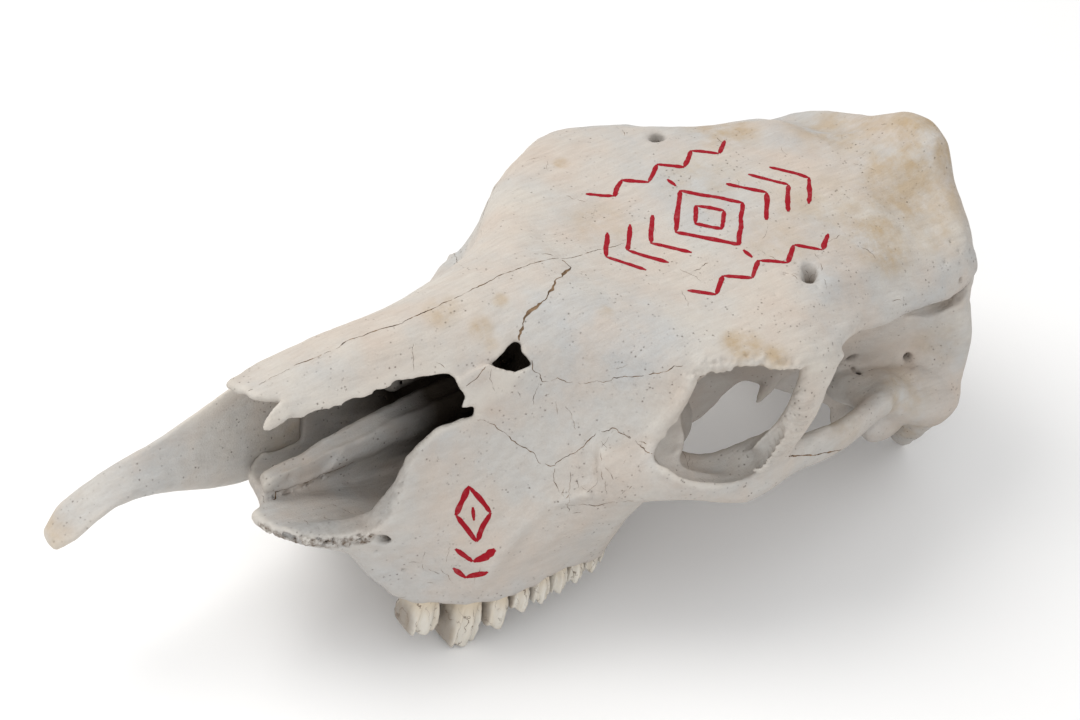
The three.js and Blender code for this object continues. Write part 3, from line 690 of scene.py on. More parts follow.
# Holes for vessels and nerves: place, direction in, radius and depth
HOLES = [
    ((62, -137, 173), (0.1, 0.2, -1), 3.6, 9), ((-66, -139, 174), (-0.1, 0.2, -1), 3.6, 9),
    ((58, -78, 99), (-1, 0.1, 0), 2.9, 20), ((57, -76, 92), (-1, 0, 0), 1.1, 6),
    ((58, -73, 89), (-1, 0.1, 0.1), 1.7, 8), ((62, -58, 89), (-1, 0.2, 0), 1.8, 9),
    ((66, -47, 99), (-1, 0.2, 0), 1.9, 9),
    ((-57, -78, 99), (1, 0.1, 0), 3.2, 12), ((-60, -60, 90), (1, 0.2, 0), 2, 7),
    ((70, -31, 167), (-1, 0.2, -0.2), 1.2, 5), ((70, -39, 170), (-0.7, 0, -0.7), 1.1, 4),
    ((74, -40, 164), (-1, 0, -0.2), 1.1, 4), ((75, -39, 155), (-1, 0, 0), 1.3, 5),
    ((74, -32, 146), (-1, 0, 0), 1.0, 4), ((64, -41, 173), (-0.3, 0, -1), 1.0, 4),
    ((72, -49, 166), (-0.8, 0, -0.5), 1.0, 4), ((-68, -50, 168), (0.3, 0, -1), 1.3, 4),
    ((54, -141, 176), (0, 0, -1), 0.9, 3), ((73, -141, 174), (0, 0, -1), 0.8, 3),
    ((58, -151, 174), (0, 0, -1), 0.8, 3), ((68, -164, 172), (0, 0, -1), 0.9, 3),
    ((51, -367, 60.5), (-0.4, 1, -0.25), 3.0, 11), ((50, -366, 51), (-1, 0.6, 0), 1.2, 5),
    ((53, -349, 37), (-1, 0.3, 0), 0.9, 5),
]
# The least radius of a hole, and how much wider each one is bored, since the grid narrows it
LEAST_HOLE = 1.15
HOLE_GROWTH = 1.12

# Swells of weathered bone: strength, size and seed
CRANIUM_SWELLS = (0.5, 34, 71), (0.22, 11, 72), (0.1, 4, 73)
INCISIVE_SWELLS = (0.4, 20, 5), (0.15, 6, 6), (0.08, 3, 7)


def in_nose(points, normals):
    """How surely points lie on the walls of the nasal cavity, which face its middle line."""
    middle = np.array(NOSE_MIDDLE) - points
    middle[:, 1] = 0
    facing = (normals * middle).sum(1) / np.maximum(np.linalg.norm(middle, axis=1), 1)
    x, y, z = points.T
    core = step01(-np.abs(x + 3), -30, -24) * step01(-z, -132, -124)
    back = step01(-y, 232, 240) * step01(z, 58, 64) * step01(-np.abs(x), -64, -58)
    return np.maximum(step01(facing, 0.05, 0.3), core) * back


def in_socket(points):
    """How surely points lie on the inner walls of the eye sockets."""
    x, y, z = points.T
    across = step01(-np.abs(x), -86, -78) * step01(np.abs(x), 14, 24)
    return across * step01(y, -232, -224) * step01(-y, 96, 130) * step01(-z, -156, -151)


def rim_distance(points):
    """Distance to the broken rims, seen along the way each was cut."""
    x = points[..., 0]
    side = np.where(x > 8, np.abs(outline(points, SIDE_OPENING, (1, 2))), 99)
    tips = np.where(points[..., 2] > 110, np.abs(outline(points, NASAL_FRONT, (0, 1))), 99)
    shelf = np.where(points[..., 2] < 100, np.abs(outline(points, PALATE_FRONT, (0, 1))), 99)
    return np.minimum(np.minimum(side, tips), shelf)


def seen(points):
    """Points measured from the small gap: right, up and towards the viewpoint."""
    axes = np.array([EYE_RIGHT, EYE_UP, EYE_BACK], np.float32)
    return (points - np.array(GAP_AT, np.float32)) @ axes.T


def plate_depth(points):
    """Distance from the middle of the thin plate in front of the lacrimal bone, less half of it."""
    x, y, z = np.moveaxis(points, -1, 0)
    leaning = PLATE_AT[0] + PLATE_LEAN[0] * (y - PLATE_AT[1]) + PLATE_LEAN[1] * (z - PLATE_AT[2])
    return np.abs(x - leaning) * PLATE_ACROSS - PLATE_HALF


def break_edges(clay):
    """Cut the broken rims again with ragged outlines."""
    for low, high, polygon, axes, ragging in (
        ((1, -446, 58), (130, -300, 140), SIDE_OPENING, (1, 2), (2.6, 0.4, 3)),
        ((-60, -446, 108), (60, -405, 200), NASAL_FRONT, (0, 1), (3.5, 0.7, 9)),
        ((-60, -446, -20), (60, -375, 100), PALATE_FRONT, (0, 1), (4.0, 1.0, 17)),
    ):
        clay.cut(low, high, lambda p: outline(ragged(p, *ragging), polygon, axes))


def join_prong(clay):
    """The thin prong at the tip of the left nasal bone: a ragged path between two flat faces."""
    path = tube(PRONG, [4.5, 4.2, 3.2, 2.2], (3, 0.5, 27))
    slope, middle = np.array(PRONG_SLOPE, np.float32), np.array(PRONG[1], np.float32)
    half = 1.2
    clay.join((4, -434, 112), (32, -402, 138),
              lambda p: np.maximum(path(p), np.abs((p - middle) @ slope) - half), 1)


def open_nose(clay):
    """The chamber at the nose's dark side, behind its front wall."""
    chamber, wall = tube(NOSE_CHAMBER, [12, 10, 8]), 311.5
    clay.cut((-48, -312.5, 66), (-12, -262, 110), lambda p: np.maximum(chamber(p), -p[..., 1] - wall))


def small_gap_and_plate(clay):
    """The small gap in front of the left lacrimal bone, and the thin plate that is left under it."""
    front, reach = -6, 20
    clay.cut((4, -330, 104), (56, -272, 172),
             lambda p: np.maximum(outline(seen(ragged(p, 2.5, 0.5, 23)), SMALL_GAP, (0, 1)),
                                  np.abs(seen(p)[..., 2] - front) - reach))
    clay.join((22, -336, 96), (60, -276, 146),
              lambda p: np.maximum(outline(seen(ragged(p, 2.2, 0.45, 29)), PLATE, (0, 1)),
                                   plate_depth(p)), 1.2)


def nose_blade(clay):
    """The thick blade on the nose's floor with its trough and furrow."""
    box = (-30, -412, 48), (30, -255, 112)
    trough = [(x + 1.5, y, z + r + 1.2) for (x, y, z), r in zip(BLADE, BLADE_RADII)]
    clay.join(*box, tube(BLADE, BLADE_RADII, (9, 0.7, 31)), 5)
    clay.cut(*box, tube(trough, [1.5, 2, 3, 3.6, 4, 4.4, 4.4, 4], (9, 0.9, 37)))
    clay.cut(*box, tube(BLADE_NOTCH, [1.1, 1.2]))
    clay.cut(*box, tube(FURROW, [0.8, 1.6, 2.2, 3], (6, 0.5, 41)))


def nose_scrolls(clay):
    """The thin scrolls deep in the nose, as the walls of two ragged tubes."""
    for low, high, path, radii, ragging, half in (
        ((5, -330, 72), (40, -262, 120), LEFT_SCROLL, [6, 7, 7.5, 7], (8, 1.2, 43), 0.9),
        ((-42, -330, 74), (-8, -262, 130), RIGHT_SCROLL, [7, 8, 8], (8, 1.5, 47), 1.0),
    ):
        scroll = tube(path, radii, ragging)
        clay.join(low, high, lambda p: np.abs(scroll(p)) - half, 1)


def temporal_crest(clay, side):
    """The sharp crest over the temporal hollow, undercut from the hollow's side."""
    line = np.array(TEMPORAL_LINE)
    box = around(mirrored(line, side), 20)
    brow = mirrored(line + (-5.5, 0, 4.5), side)
    under = mirrored(line[1:] + (-1.5, 0, -8), side)
    inner = mirrored(line[2:] + (-9.5, 0, -9), side)
    rear = mirrored(BAR_REAR, side)
    clay.join(*box, tube(brow, [3, 4.5, 5.5, 6, 6, 6, 6, 6, 5]), 7)
    clay.cut(*box, tube(under, [5, 7, 7.4, 7.5, 7.5, 7.4, 6.8, 5.5]))
    clay.cut(*box, tube(inner, [6, 8, 8.5, 8.5, 8, 7.5, 5], (14, 0.8, 93)))
    clay.cut(*around(rear, 9), tube(rear, [7, 7.5, 8.3, 7]))


def eye_socket(clay, side):
    """The raised rim of an eye socket and the hollow inside it."""
    rim = mirrored(SOCKET_FRONT, side) * (1.0 if side > 0 else RIGHT_RIM_SHARE, 1, 1)
    box = around(rim, 24)
    clay.join(*box, tube(rim, [2.2] * len(rim), (7, 0.5, 95)), 4)
    clay.cut(*box, tube(mirrored(SOCKET_HOLLOW, side), SOCKET_RADII, (12, 0.6, 96)))
    clay.cut(*box, tube(mirrored(SOCKET_FLOOR, side), [7, 8, 8, 7]))


def arch_and_cheek(clay, side):
    """The rear end of the cheek arch and the ridge of the cheek."""
    end, ridge = mirrored(ARCH_END, side), mirrored(CHEEK_RIDGE, side)
    clay.join(*around(end, 22), tube(end, [3, 5.5, 8.5, 9]), 13)
    clay.join(*around(ridge, 16), tube(ridge, [1.5, 2.6, 3, 3, 3, 1.5], (9, 0.6, 99)), 9)


def splinters(clay):
    """The spike in the left eye socket and the flakes on its rim."""
    for path, radii in SPLINTERS:
        clay.join(*around(path, 9), tube(path, radii), 2)


def bore_holes(clay):
    """The vessel and nerve holes, widest at their mouths."""
    for place, way, radius, depth in HOLES:
        place, way = np.array(place, float), np.array(way, float)
        way /= np.linalg.norm(way)
        radius = max(radius, LEAST_HOLE) * HOLE_GROWTH
        path = [place - way * 5, place, place + way * depth]
        clay.cut(*around(path, radius * 2 + 2),
                 tube(path, [radius * 1.4, radius, radius * 0.6], (2 + radius, 0.3, 61)))


def arch_gums(clay):
    """The bone's arched edge over each cheek tooth."""
    for _, side in SIDES:
        for k, (y, long, *_) in enumerate(TEETH):
            radius = 0.47 * long
            top = GUM_Z(y) + 1.4 + 0.5 * math.sin(5 * k)
            middle = np.array([side * (GUM_HALF(y) + 1.0), y, top - radius])
            path = [middle + (-side * 4, 0, 0), middle + (side * 6, 0, 0)]
            clay.cut(*around(path, radius + 2), tube(path, [radius, radius], (4, 0.4, 63)))


def spongy_edges(clay):
    """Bare spongy bone in the broken edge of the palate."""
    for path, reach in ((SPONGY, 4.5), (SPONGY_MIDDLE, 3.5)):
        clay.cut(*around(path, reach),
                 lambda p: np.maximum(segments(p, path) - reach,
                                      0.75 - 1.9 * np.abs(layered_noise(p, 3.0, 51, 2))))


def swelled(points, swells):
    """How far points rise by a few layers of noise."""
    return sum(strength * noise(points, size, seed) for strength, size, seed in swells)


def weathered(points, normals, rims, near):
    """Points moved along their normals by swells, ripples and crumbs of weathered bone."""
    x, y, z = points.T
    amount = swelled(points, CRANIUM_SWELLS)
    away, along = near_path(points, BAR_EDGE)
    bend = along + 0.05 * away**2 + 1.0 * noise(points, 5, 74)
    ripple = np.clip(np.sin(bend * 2 * math.pi / 4.0) * 1.8 - 0.8, -1, 1)
    amount += 0.6 * ripple * step01(-away, -8, -5) * step01(noise(points, 8, 75), -0.7, -0.1)
    away, _ = near_path(points, UPPER_RIM)
    crumbs = 1.1 * noise(points, 2.8, 76) + 0.8 * noise(points, 1.7, 77)
    amount += crumbs * step01(-away, -14, -6) * step01(-near, -0.46, -0.38)
    amount += 0.25 * noise(points, 2.6, 78) * step01(-rims, -4, -1)
    nape = step01(y, -46, -28) * step01(x, 52, 66) * step01(z, 120, 140)
    amount += 0.5 * noise(points, 3.2, 79) * nape
    knobs = step01(-z, -84, -60) * step01(y, -110, -70)
    amount += 0.5 * noise(points, 6, 80) * knobs
    return points + amount[:, None] * normals


# Ochre stains: place, reach and strength
STAINS = [
    ((-53, -106, 178), 26, 0.9), ((18, -32, 204), 40, 0.9), ((55, -85, 177), 28, 0.95),
    ((30, -45, 188), 46, 0.75), ((-30, -45, 190), 46, 0.7), ((54, -48, 174), 22, 0.6),
    ((39, -80, 181), 26, 0.5), ((87, -198, 161), 15, 1.0), ((99, -186, 158), 12, 0.8),
    ((-72, -196, 165), 6, 0.9), ((4, -321, 155), 14, 0.6), ((20, -307, 151), 9, 0.8),
    ((27, -305, 146), 6, 0.6), ((13, -292, 160), 6, 0.7), ((42, -249, 162), 6, 0.6),
    ((-20, -208, 164), 26, 0.35), ((37, -138, 177), 26, 0.35), ((-23, -144, 176), 30, 0.35),
    ((90, -120, 95), 22, 0.45), ((84, -60, 92), 26, 0.6), ((70, -40, 60), 30, 0.6),
    ((0, -20, 120), 60, 0.35), ((74, -36, 110), 18, 0.4), ((0, -200, 60), 60, 0.2),
    ((30, -100, 181), 40, 0.4), ((96, -160, 150), 10, 0.5),
]


def stain_mask(points):
    """How strongly the ochre stains show at each point."""
    total = np.zeros(len(points))
    for place, reach, strength in STAINS:
        away = np.linalg.norm(points - np.array(place), axis=1)
        total = np.maximum(total, strength * step01(-away, -reach, -reach * 0.3))
    return total


class SkullBoneSettings(bpy.types.PropertyGroup):
    """Grid, smoothing and colours of the bone"""

    voxel: FloatProperty(name="Grid", description="Cell of the fine grid, in millimetres",
                         default=1.0, min=0.7, max=3)
    fairing: IntProperty(name="Fairing", description="Rounds that smooth the facets away",
                         default=60, min=0, max=200)
    pale: colour_setting("Pale bone", "Colour of clean bone", (0.65, 0.605, 0.54))
    # This grey is laid in random patches, and as painted shade that greys the lower parts.
    cool: colour_setting("Cool bone", "Bleached grey patches", (0.52, 0.525, 0.52))
    rosy: colour_setting("Rosy bone", "Warm patches", (0.61, 0.53, 0.46))
    ochre: colour_setting("Ochre stain", "Yellow brown stains", (0.47, 0.345, 0.2))
    # Painted shade: this brown darkens the hollows, the inner walls of the eye sockets and downward
    # faces; it also darkens the mottle of the grain.
    hollow: colour_setting("Hollows", "Dirt in deep hollows", (0.3, 0.25, 0.21))
    dirt: colour_setting("Dirt", "Dark dirt in pores and cracks", (0.1, 0.065, 0.04))
    # Painted shade: this near black is laid on the walls deep in the nose.
    painted_nose_shade: colour_setting("Inside of the nose", "Darkest colour in the nose", (0.035, 0.026, 0.018))
    roughness: FloatProperty(name="Roughness", description="Roughness of dry bone",
                             default=0.8, min=0, max=1, subtype="FACTOR")


def below_gums(points):
    """A shape that is negative where the solids' plain teeth stand."""
    _, y, z = np.moveaxis(points, -1, 0)
    return np.maximum(z - GUM_Z(y) + 1.0, np.abs(y + 284) - 64)


def merged_bones(fairing):
    """Points and quads of the solid bones as one smooth skin, without the plain teeth."""
    rough = Clay(*CRANIUM_BOX, ROUGH_CELL, BAND)
    for node in MERGED:
        rough.add_mesh(*solid_mesh(node), swell=SEAM_SWELL)
    rough.cut((-110, -348, -22), (110, -220, 40), below_gums)
    points, quads = rough.surface()
    hold = step01(-rim_distance(points), -7, -2)
    return fair(points, quads, fairing, hold=hold), quads


def carve(clay):
    """All that is carved in the cranium, from the large crests to the spongy edges."""
    for _, side in SIDES:
        temporal_crest(clay, side)
        eye_socket(clay, side)
        arch_and_cheek(clay, side)
    nose_blade(clay)
    nose_scrolls(clay)
    break_edges(clay)
    join_prong(clay)
    open_nose(clay)
    small_gap_and_plate(clay)
    splinters(clay)
    bore_holes(clay)
    arch_gums(clay)
    clay.blur(1)
    spongy_edges(clay)


def skin_of(clay, rounds):
    """Points and quads of the clay's surface, a little smoothed and with its faces out."""
    points, quads = clay.surface()
    points = fair(points, quads, rounds)
    return points, quads[:, ::-1] if turned(points, quads) else quads


def cranium_masks(points, quads, rims, near, deep):
    """Where the cranium gets painted shade, paler edges, ochre stains and dirt on broken bone."""
    out = normals_of(points, quads)
    inside, lean = in_nose(points, out), out[:, 2]
    # Painted shade: the walls of the nose turn near black towards its back.
    dark = step01(points[:, 1], -345, -296) * inside
    # Painted shade: darker in hollows and crevices, on the inner walls of the eye sockets and under
    # faces that look down.
    hollow = step01(deep, 0.66, 0.95) + step01(near, 0.62, 0.85)
    return {
        "hollow": np.clip(hollow + 0.55 * in_socket(points) + 0.3 * step01(-lean, -0.3, 0.35), 0, 1),
        "edge": step01(-near, -0.36, -0.2),
        "ochre": stain_mask(points),
        "broken": np.maximum(0.14 * step01(-rims, -1.2, -0.2),
                             step01(-near_path(points, SPONGY)[0], -5, -3)),
        "inside": np.clip(0.14 * inside + dark, 0, 1),
        # Painted shade: greyer towards the bottom.
        "cool": step01(-points[:, 2], -140, -90),
    }


class SKULL_OT_cranium(bpy.types.Operator):
    """Merge the solid bones, fair them and carve the details of the cranium"""

    bl_idname = "skull.cranium"
    bl_label = "Cranium"

    def execute(self, context):
        settings = context.scene.skull_bone
        clay = Clay(*CRANIUM_BOX, settings.voxel, BAND)
        clay.add_mesh(*merged_bones(settings.fairing))
        carve(clay)
        points, quads = skin_of(clay, 2)
        rims, near = rim_distance(points), hollowness(clay, points, 4.0)
        points = weathered(points, normals_of(points, quads), rims, near)
        masks = cranium_masks(points, quads, rims, near, hollowness(clay, points, 15.0))
        made = new_object("cranium", points, quads, bone_material(settings), masks)
        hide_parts(*MERGED)
        return {"FINISHED"}


class SKULL_OT_incisive(bpy.types.Operator):
    """The right incisive bone, the curved blade at the muzzle"""

    bl_idname = "skull.incisive"
    bl_label = "Incisive bone"

    def execute(self, context):
        settings = context.scene.skull_bone
        corners = solid_mesh("incisive_right")[0]
        clay = Clay(*around(corners, 8), 1.0, BAND)
        clay.add_mesh(*solid_mesh("incisive_right"))
        clay.blur(3)
        tip = [(-24, -500, 42), (-24, -494, 43), (-25, -488, 44)]
        clay.cut((-40, -506, 30), (-10, -480, 50), tube(tip, [0.8, 1.4, 1.0], (5, 0.6, 5)))
        points, quads = skin_of(clay, 25)
        points = points + swelled(points, INCISIVE_SWELLS)[:, None] * normals_of(points, quads)
        deep = hollowness(clay, points, 8.0)
        _, y, z = points.T
        # Painted shade: the hollow mask darkens the hollows of the incisive bone.
        masks = {"hollow": 0.3 * step01(deep, 0.6, 0.9), "edge": step01(-deep, -0.3, -0.1),
                 "ochre": 0.8 * step01(-y, 490, 503) + 0.5 * step01(y, -400, -360) * step01(z, 100, 80),
                 # Painted shade: a little darker towards the incisive bone's rear, by the nose.
                 "broken": np.zeros(len(points)), "inside": 0.1 * step01(y, -430, -380),
                 # Painted shade: greyer towards the front end.
                 "cool": 0.8 * step01(-y, 380, 440)}
        made = new_object("incisive_right_bone", points, quads, bone_material(settings), masks)
        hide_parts("incisive_right")
        return {"FINISHED"}


# Teeth


class SkullTeethSettings(bpy.types.PropertyGroup):
    """Breadth, ribs and colours of the teeth"""

    half_width: FloatProperty(name="Half width", description="Half the width of a tooth, in millimetres",
                              default=10.0, min=5, max=15)
    rib: FloatProperty(name="Ribs", description="How far the ribs on the cheek side stand out",
                       default=0.13, min=0, max=0.4)
    enamel: colour_setting("Enamel", "Colour of the crowns", (0.66, 0.62, 0.55))
    root: colour_setting("Root", "Colour of the necks", (0.58, 0.49, 0.37))
    fissure: colour_setting("Fissures", "Colour of the cracks and grooves", (0.12, 0.075, 0.045))


# Place of each tooth along the row, length, lowest point, lean of its crown and number of ribs
TEETH = [(-331, 18, -5, 3, 3), (-309.5, 18, -14, 5, 3), (-295, 12, -3, 2, 2), (-283.5, 11, 6, 0, 2),
         (-272, 11, 7.5, 0, 3), (-260.5, 10.5, 9.5, 0, 3), (-249.5, 10.5, 12, 0, 3),
         (-238.5, 10, 13.5, 0, 3), (-230.5, 5.5, 15, 0, 2)]


# Points round a tooth and rings down it; its swell down the column; the cup in its worn end, as the
# share of the last ring and the rise
AROUND, LEVELS = 72, 26
SWELL_AT, SWELL = [0, 0.35, 0.6, 0.85, 0.97, 1], [0.8, 0.86, 1.0, 1.06, 1.0, 0.9]
CUP = (0.72, 0.8), (0.45, 2.6), (0.2, 1.2)
FLOOR_GAP = 0.3


def squared(value):
    """A sine or cosine pushed out towards a square."""
    return np.sign(value) * np.abs(value) ** 0.68


def tooth_rings(side, y, long, low, lean, ribs, settings):
    """Rings down one cheek tooth: ribbed on the cheek side, narrow at the neck."""
    gum, high = GUM_HALF(y), GUM_Z(y) + 8
    angle = np.arange(AROUND) * 2 * math.pi / AROUND
    across, along = np.cos(angle), np.sin(angle)
    outer = np.clip(across, 0, 1) ** 0.5
    inner = np.clip(-across, 0, 1) * 0.07 * np.cos(along * 2 * math.pi)
    rings = []
    for level in range(LEVELS):
        t = level / (LEVELS - 1)
        swell = np.interp(t, SWELL_AT, SWELL)
        groove = np.cos(along * ribs * math.pi) * settings.rib * outer * step01(t, 0.2, 0.55)
        reach = swell * (1 + groove + inner)
        tip = lean * t
        x = gum - settings.half_width - 0.5 + settings.half_width * reach * squared(across) - tip * 0.5
        ring_y = y + (long / 2 - 0.2) * swell * (1 + 0.05 * groove) * squared(along) - tip * 0.3
        bevel = (1.0 * squared(across) + 0.7 * np.cos(along * ribs * math.pi) * outer) * (t > 0.94)
        rings.append(np.stack([side * x, ring_y, high + (low - high) * t - bevel], 1))
    return rings


def tooth_quads(rings):
    """Quads between the rings of a tooth and over its two ends."""
    quads = []
    for r in range(rings - 1):
        for i in range(AROUND):
            j = (i + 1) % AROUND
            quads.append((r * AROUND + i, r * AROUND + j, (r + 1) * AROUND + j, (r + 1) * AROUND + i))
    for first, flip in ((0, False), ((rings - 1) * AROUND, True)):
        for i in range(AROUND // 2 - 1):
            a = (first + i, first + i + 1, first + AROUND - i - 2, first + AROUND - i - 1)
            quads.append(a if flip else a[::-1])
    return np.array(quads)


def tooth_column(side, tooth, settings, seed):
    """Points and quads of one cheek tooth, with how far down it each point lies."""
    rings = tooth_rings(side, *tooth, settings)
    last, centre = rings[-1], rings[-1].mean(0)
    for share, rise in CUP:
        ring = centre + (last - centre) * share
        ring[:, 2] = last[:, 2] * share + centre[2] * (1 - share) + rise
        rings.append(ring)
    neck = rings[0].mean(0)
    rings.insert(0, neck + (rings[0] - neck) * 0.3)
    points = np.concatenate(rings)
    points += 0.35 * np.stack([layered_noise(points, 3.2, seed + k) for k in range(3)], 1)
    sunk = np.clip(FLOOR_GAP - to_frame(points)[:, 2] * 1000, 0, None)
    points[:, 2] += sunk / math.cos(HEAD_PITCH)
    return points, tooth_quads(len(rings)), np.repeat(np.linspace(0, 1, len(rings)), AROUND)


def tooth_material(settings):
    """Cream enamel over brown necks, with brown streaks and fissures down the crown."""
    made, web, surface = new_material("tooth_enamel")
    if web is None:
        return made
    position = web.node("TexCoord").outputs["Object"]
    crown = web.mask("crown")
    colour = web.tint(rgb(settings.root), rgb(settings.enamel), crown)
    streak = web.noise(position, 260.0, 4.0, 0.6, (1.0, 1.0, 0.14))
    colour = web.tint(colour, rgb(settings.root), web.ramp(streak, 0.45, 0.7, 0.0, 0.55))
    crack = web.node("TexWave", {"Vector": position, "Scale": 70.0, "Distortion": 9.0, "Detail": 3.0,
                                 "Detail Scale": 2.0}, bands_direction="Y").outputs["Fac"]
    line = web.ramp(crack, 0.0, 0.035, 1.0, 0.0)
    patch = web.ramp(web.noise(position, 120.0), 0.42, 0.6)
    colour = web.tint(colour, rgb(settings.fissure), web.maths("MULTIPLY", line, patch))
    colour = web.tint(colour, rgb(settings.fissure), web.maths("MULTIPLY", web.mask("groove"), 0.75))
    web.put(colour, surface["Base Color"])
    web.put(web.ramp(streak, 0.3, 0.7, 0.35, 0.6), surface["Roughness"])
    height = web.maths("SUBTRACT", web.noise(position, 700.0, 3.0), line)
    bump = web.node("Bump", {"Height": height, "Strength": 0.4, "Distance": 0.0005})
    web.put(bump.outputs[0], surface["Normal"])
    return made


class SKULL_OT_teeth(bpy.types.Operator):
    """The cheek teeth of both sides, ribbed columns set in their sockets"""

    bl_idname = "skull.teeth"
    bl_label = "Teeth"

    def execute(self, context):
        settings = context.scene.skull_teeth
        for name, side in SIDES:
            points, quads, crown, groove, count = [], [], [], [], 0
            for k, tooth in enumerate(TEETH):
                p, q, depth = tooth_column(side, tooth, settings, 100 * k + (side > 0))
                points.append(p)
                quads.append((q[:, ::-1] if turned(p, q) else q) + count)
                crown.append(step01(depth, 0.25, 0.6))
                away, long = p - p.mean(0), tooth[1]
                gap = step01(np.abs(away[:, 1]), long * 0.38, long * 0.5)
                groove.append(np.clip(0.8 * gap + step01(depth, 0.9, 0.97) * 0.9, 0, 1))
                count += len(p)
            made = new_object(f"teeth_{name}", np.concatenate(points), np.concatenate(quads),
                              tooth_material(settings),
                              {"crown": np.concatenate(crown), "groove": np.concatenate(groove)})
        return {"FINISHED"}


# Cracks and paint

FRONTO_LACRIMAL = [(42, -290, 142), (49, -284, 132), (52, -278, 135), (57, -270, 131), (62, -261, 135),
                   (68, -251, 140), (80, -226, 152)]
LACRIMO_MAXILLARY = [(43, -314, 112), (47, -304, 108), (53, -293, 99), (58, -288, 97), (61, -285, 93),
                     (66, -279, 92), (67, -272, 98), (69, -267, 103), (69, -261, 110), (73, -254, 114),
                     (82, -246, 110), (90, -240, 107)]
CHEEK_SUTURE = [(66, -279, 92), (69, -280, 85), (75, -276, 77), (85, -260, 72), (95, -247, 81)]
ARCH_SUTURE = [(112, -170, 103), (113, -164, 100), (109, -156, 96), (107, -143, 91), (104, -128, 86),
               (100, -116, 82)]
# Suture: path, width and how far it wanders
SUTURES = [
    ([(0, -423, 129), (-1, -410, 134), (-1, -397, 137), (1, -378, 143), (-1, -367, 145), (2, -341, 150),
      (1, -322, 154), (1, -303, 159), (-1, -286, 163), (-1, -271, 165), (-1, -247, 165)], 0.5, 0.5),
    ([(-8, -260, 166), (-6, -253, 166), (-3, -249, 165), (-1, -247, 165)], 0.45, 0.5),
    ([(-1, -247, 165), (-1, -238, 163), (-2, -226, 163), (-2, -205, 163)], 0.35, 0.5),
    ([(-1, -247, 165), (7, -246, 164), (14, -260, 166), (20, -268, 164), (24, -277, 161),
      (25, -285, 157), (29, -290, 152), (33, -292, 148)], 1.3, 0.9),
    ([(34, -310, 141), (37, -316, 134), (37, -321, 129)], 0.4, 0.4),
    ([(34, -308, 142), (40, -309, 134), (43, -306, 126)], 0.25, 0.5),
    (FRONTO_LACRIMAL, 0.4, 1.0), (LACRIMO_MAXILLARY, 0.4, 1.0), (CHEEK_SUTURE, 0.35, 0.9),
    (ARCH_SUTURE, 1.0, 0.3),
    ([(2, -399, 59), (3, -385, 60), (4, -366, 63), (5, -350, 66)], 0.8, 0.6),
    ([(72, -252, 112), (78, -247, 111), (85, -239, 109), (93, -234, 104)], 0.4, 0.8),
] + [([(-x, y, z) for x, y, z in path], width, 0.9) for path, width in (
    (FRONTO_LACRIMAL, 0.4), (LACRIMO_MAXILLARY, 0.4), (CHEEK_SUTURE, 0.35), (ARCH_SUTURE, 0.9))]
# Where short random cracks gather: place, reach and number
CRAZED = [((80, -265, 85), 22, 16), ((62, -335, 35), 20, 10), ((96, -215, 92), 16, 10),
          ((60, -280, 120), 26, 8), ((20, -340, 145), 30, 6), ((10, -170, 172), 60, 10),
          ((70, -90, 160), 34, 8), ((64, -137, 173), 12, 10), ((-60, -180, 168), 50, 8),
          ((-75, -265, 85), 26, 10), ((20, -390, 56), 22, 5), ((0, -60, 185), 40, 6)]


def densified(path, step):
    """A path as evenly spaced points, with how far along it each one is."""
    path = np.asarray(path, float)
    gone = np.r_[0, np.cumsum(np.linalg.norm(np.diff(path, axis=0), axis=1))]
    at = np.linspace(0, gone[-1], max(3, int(gone[-1] / step) + 1))
    return np.stack([np.interp(at, gone, path[:, k]) for k in range(path.shape[1])], 1), at


class Skin:
    """The cranium's surface, for laying thin marks on it."""

    def __init__(self):
        mesh = bpy.data.objects["cranium"].data
        quads = np.empty(len(mesh.loops), np.int32)
        mesh.loops.foreach_get("vertex_index", quads)
        self.tree = BVHTree.FromPolygons(head_points(mesh).tolist(), quads.reshape(-1, 4).tolist())

    def nearest(self, points):
        """The nearest places on the bone, with their normals."""
        found = [self.tree.find_nearest(Vector(p)) for p in points]
        return np.array([f[0] for f in found]), np.array([f[1] for f in found])

    def cast(self, points, way):
        """Where lines from the points along a direction meet the bone, with normals and hits."""
        found = [self.tree.ray_cast(Vector(p), Vector(way)) for p in points]
        hit = np.array([f[0] is not None for f in found])
        place = np.array([f[0] if f[0] is not None else (0, 0, 0) for f in found])
        normal = np.array([f[1] if f[0] is not None else (0, 0, 1) for f in found])
        return place, normal, hit


class Strips:
    """Gathers ribbons of quads into one mesh."""

    def __init__(self):
        self.points, self.quads, self.count = [], [], 0

    def add(self, rails, keep):
        """Rails is across x along x 3; quads are made where keep is true at both ends."""
        across, along = rails.shape[:2]
        self.points.append(rails.reshape(-1, 3))
        for r in range(across - 1):
            for i in np.flatnonzero(keep[:-1] & keep[1:]):
                a = self.count + r * along + i
                self.quads.append((a, a + 1, a + along + 1, a + along))
        self.count += across * along

    def mesh(self):
        """Points and quads of all ribbons, without the points that no quad uses."""
        points, quads = np.concatenate(self.points), np.array(self.quads)
        used = np.zeros(len(points), bool)
        used[quads] = True
        number = np.cumsum(used) - 1
        return points[used], number[quads]


def unit(vectors):
    """Vectors of length one."""
    return vectors / np.maximum(np.linalg.norm(vectors, axis=-1, keepdims=True), 1e-9)


# How high the cracks and the paint lie on the bone, and how much the paint's edge falls
CRACK_LIFT = 0.05
PAINT_LIFT, PAINT_FALL = 0.16, 0.08
# How far off a stroke of paint is cast on the bone
CAST_FROM = 400
# Seeds of the sutures and of the strokes on the brow and the cheek
SUTURE_SEED, BROW_SEED, CHEEK_SEED = 20, 300, 400


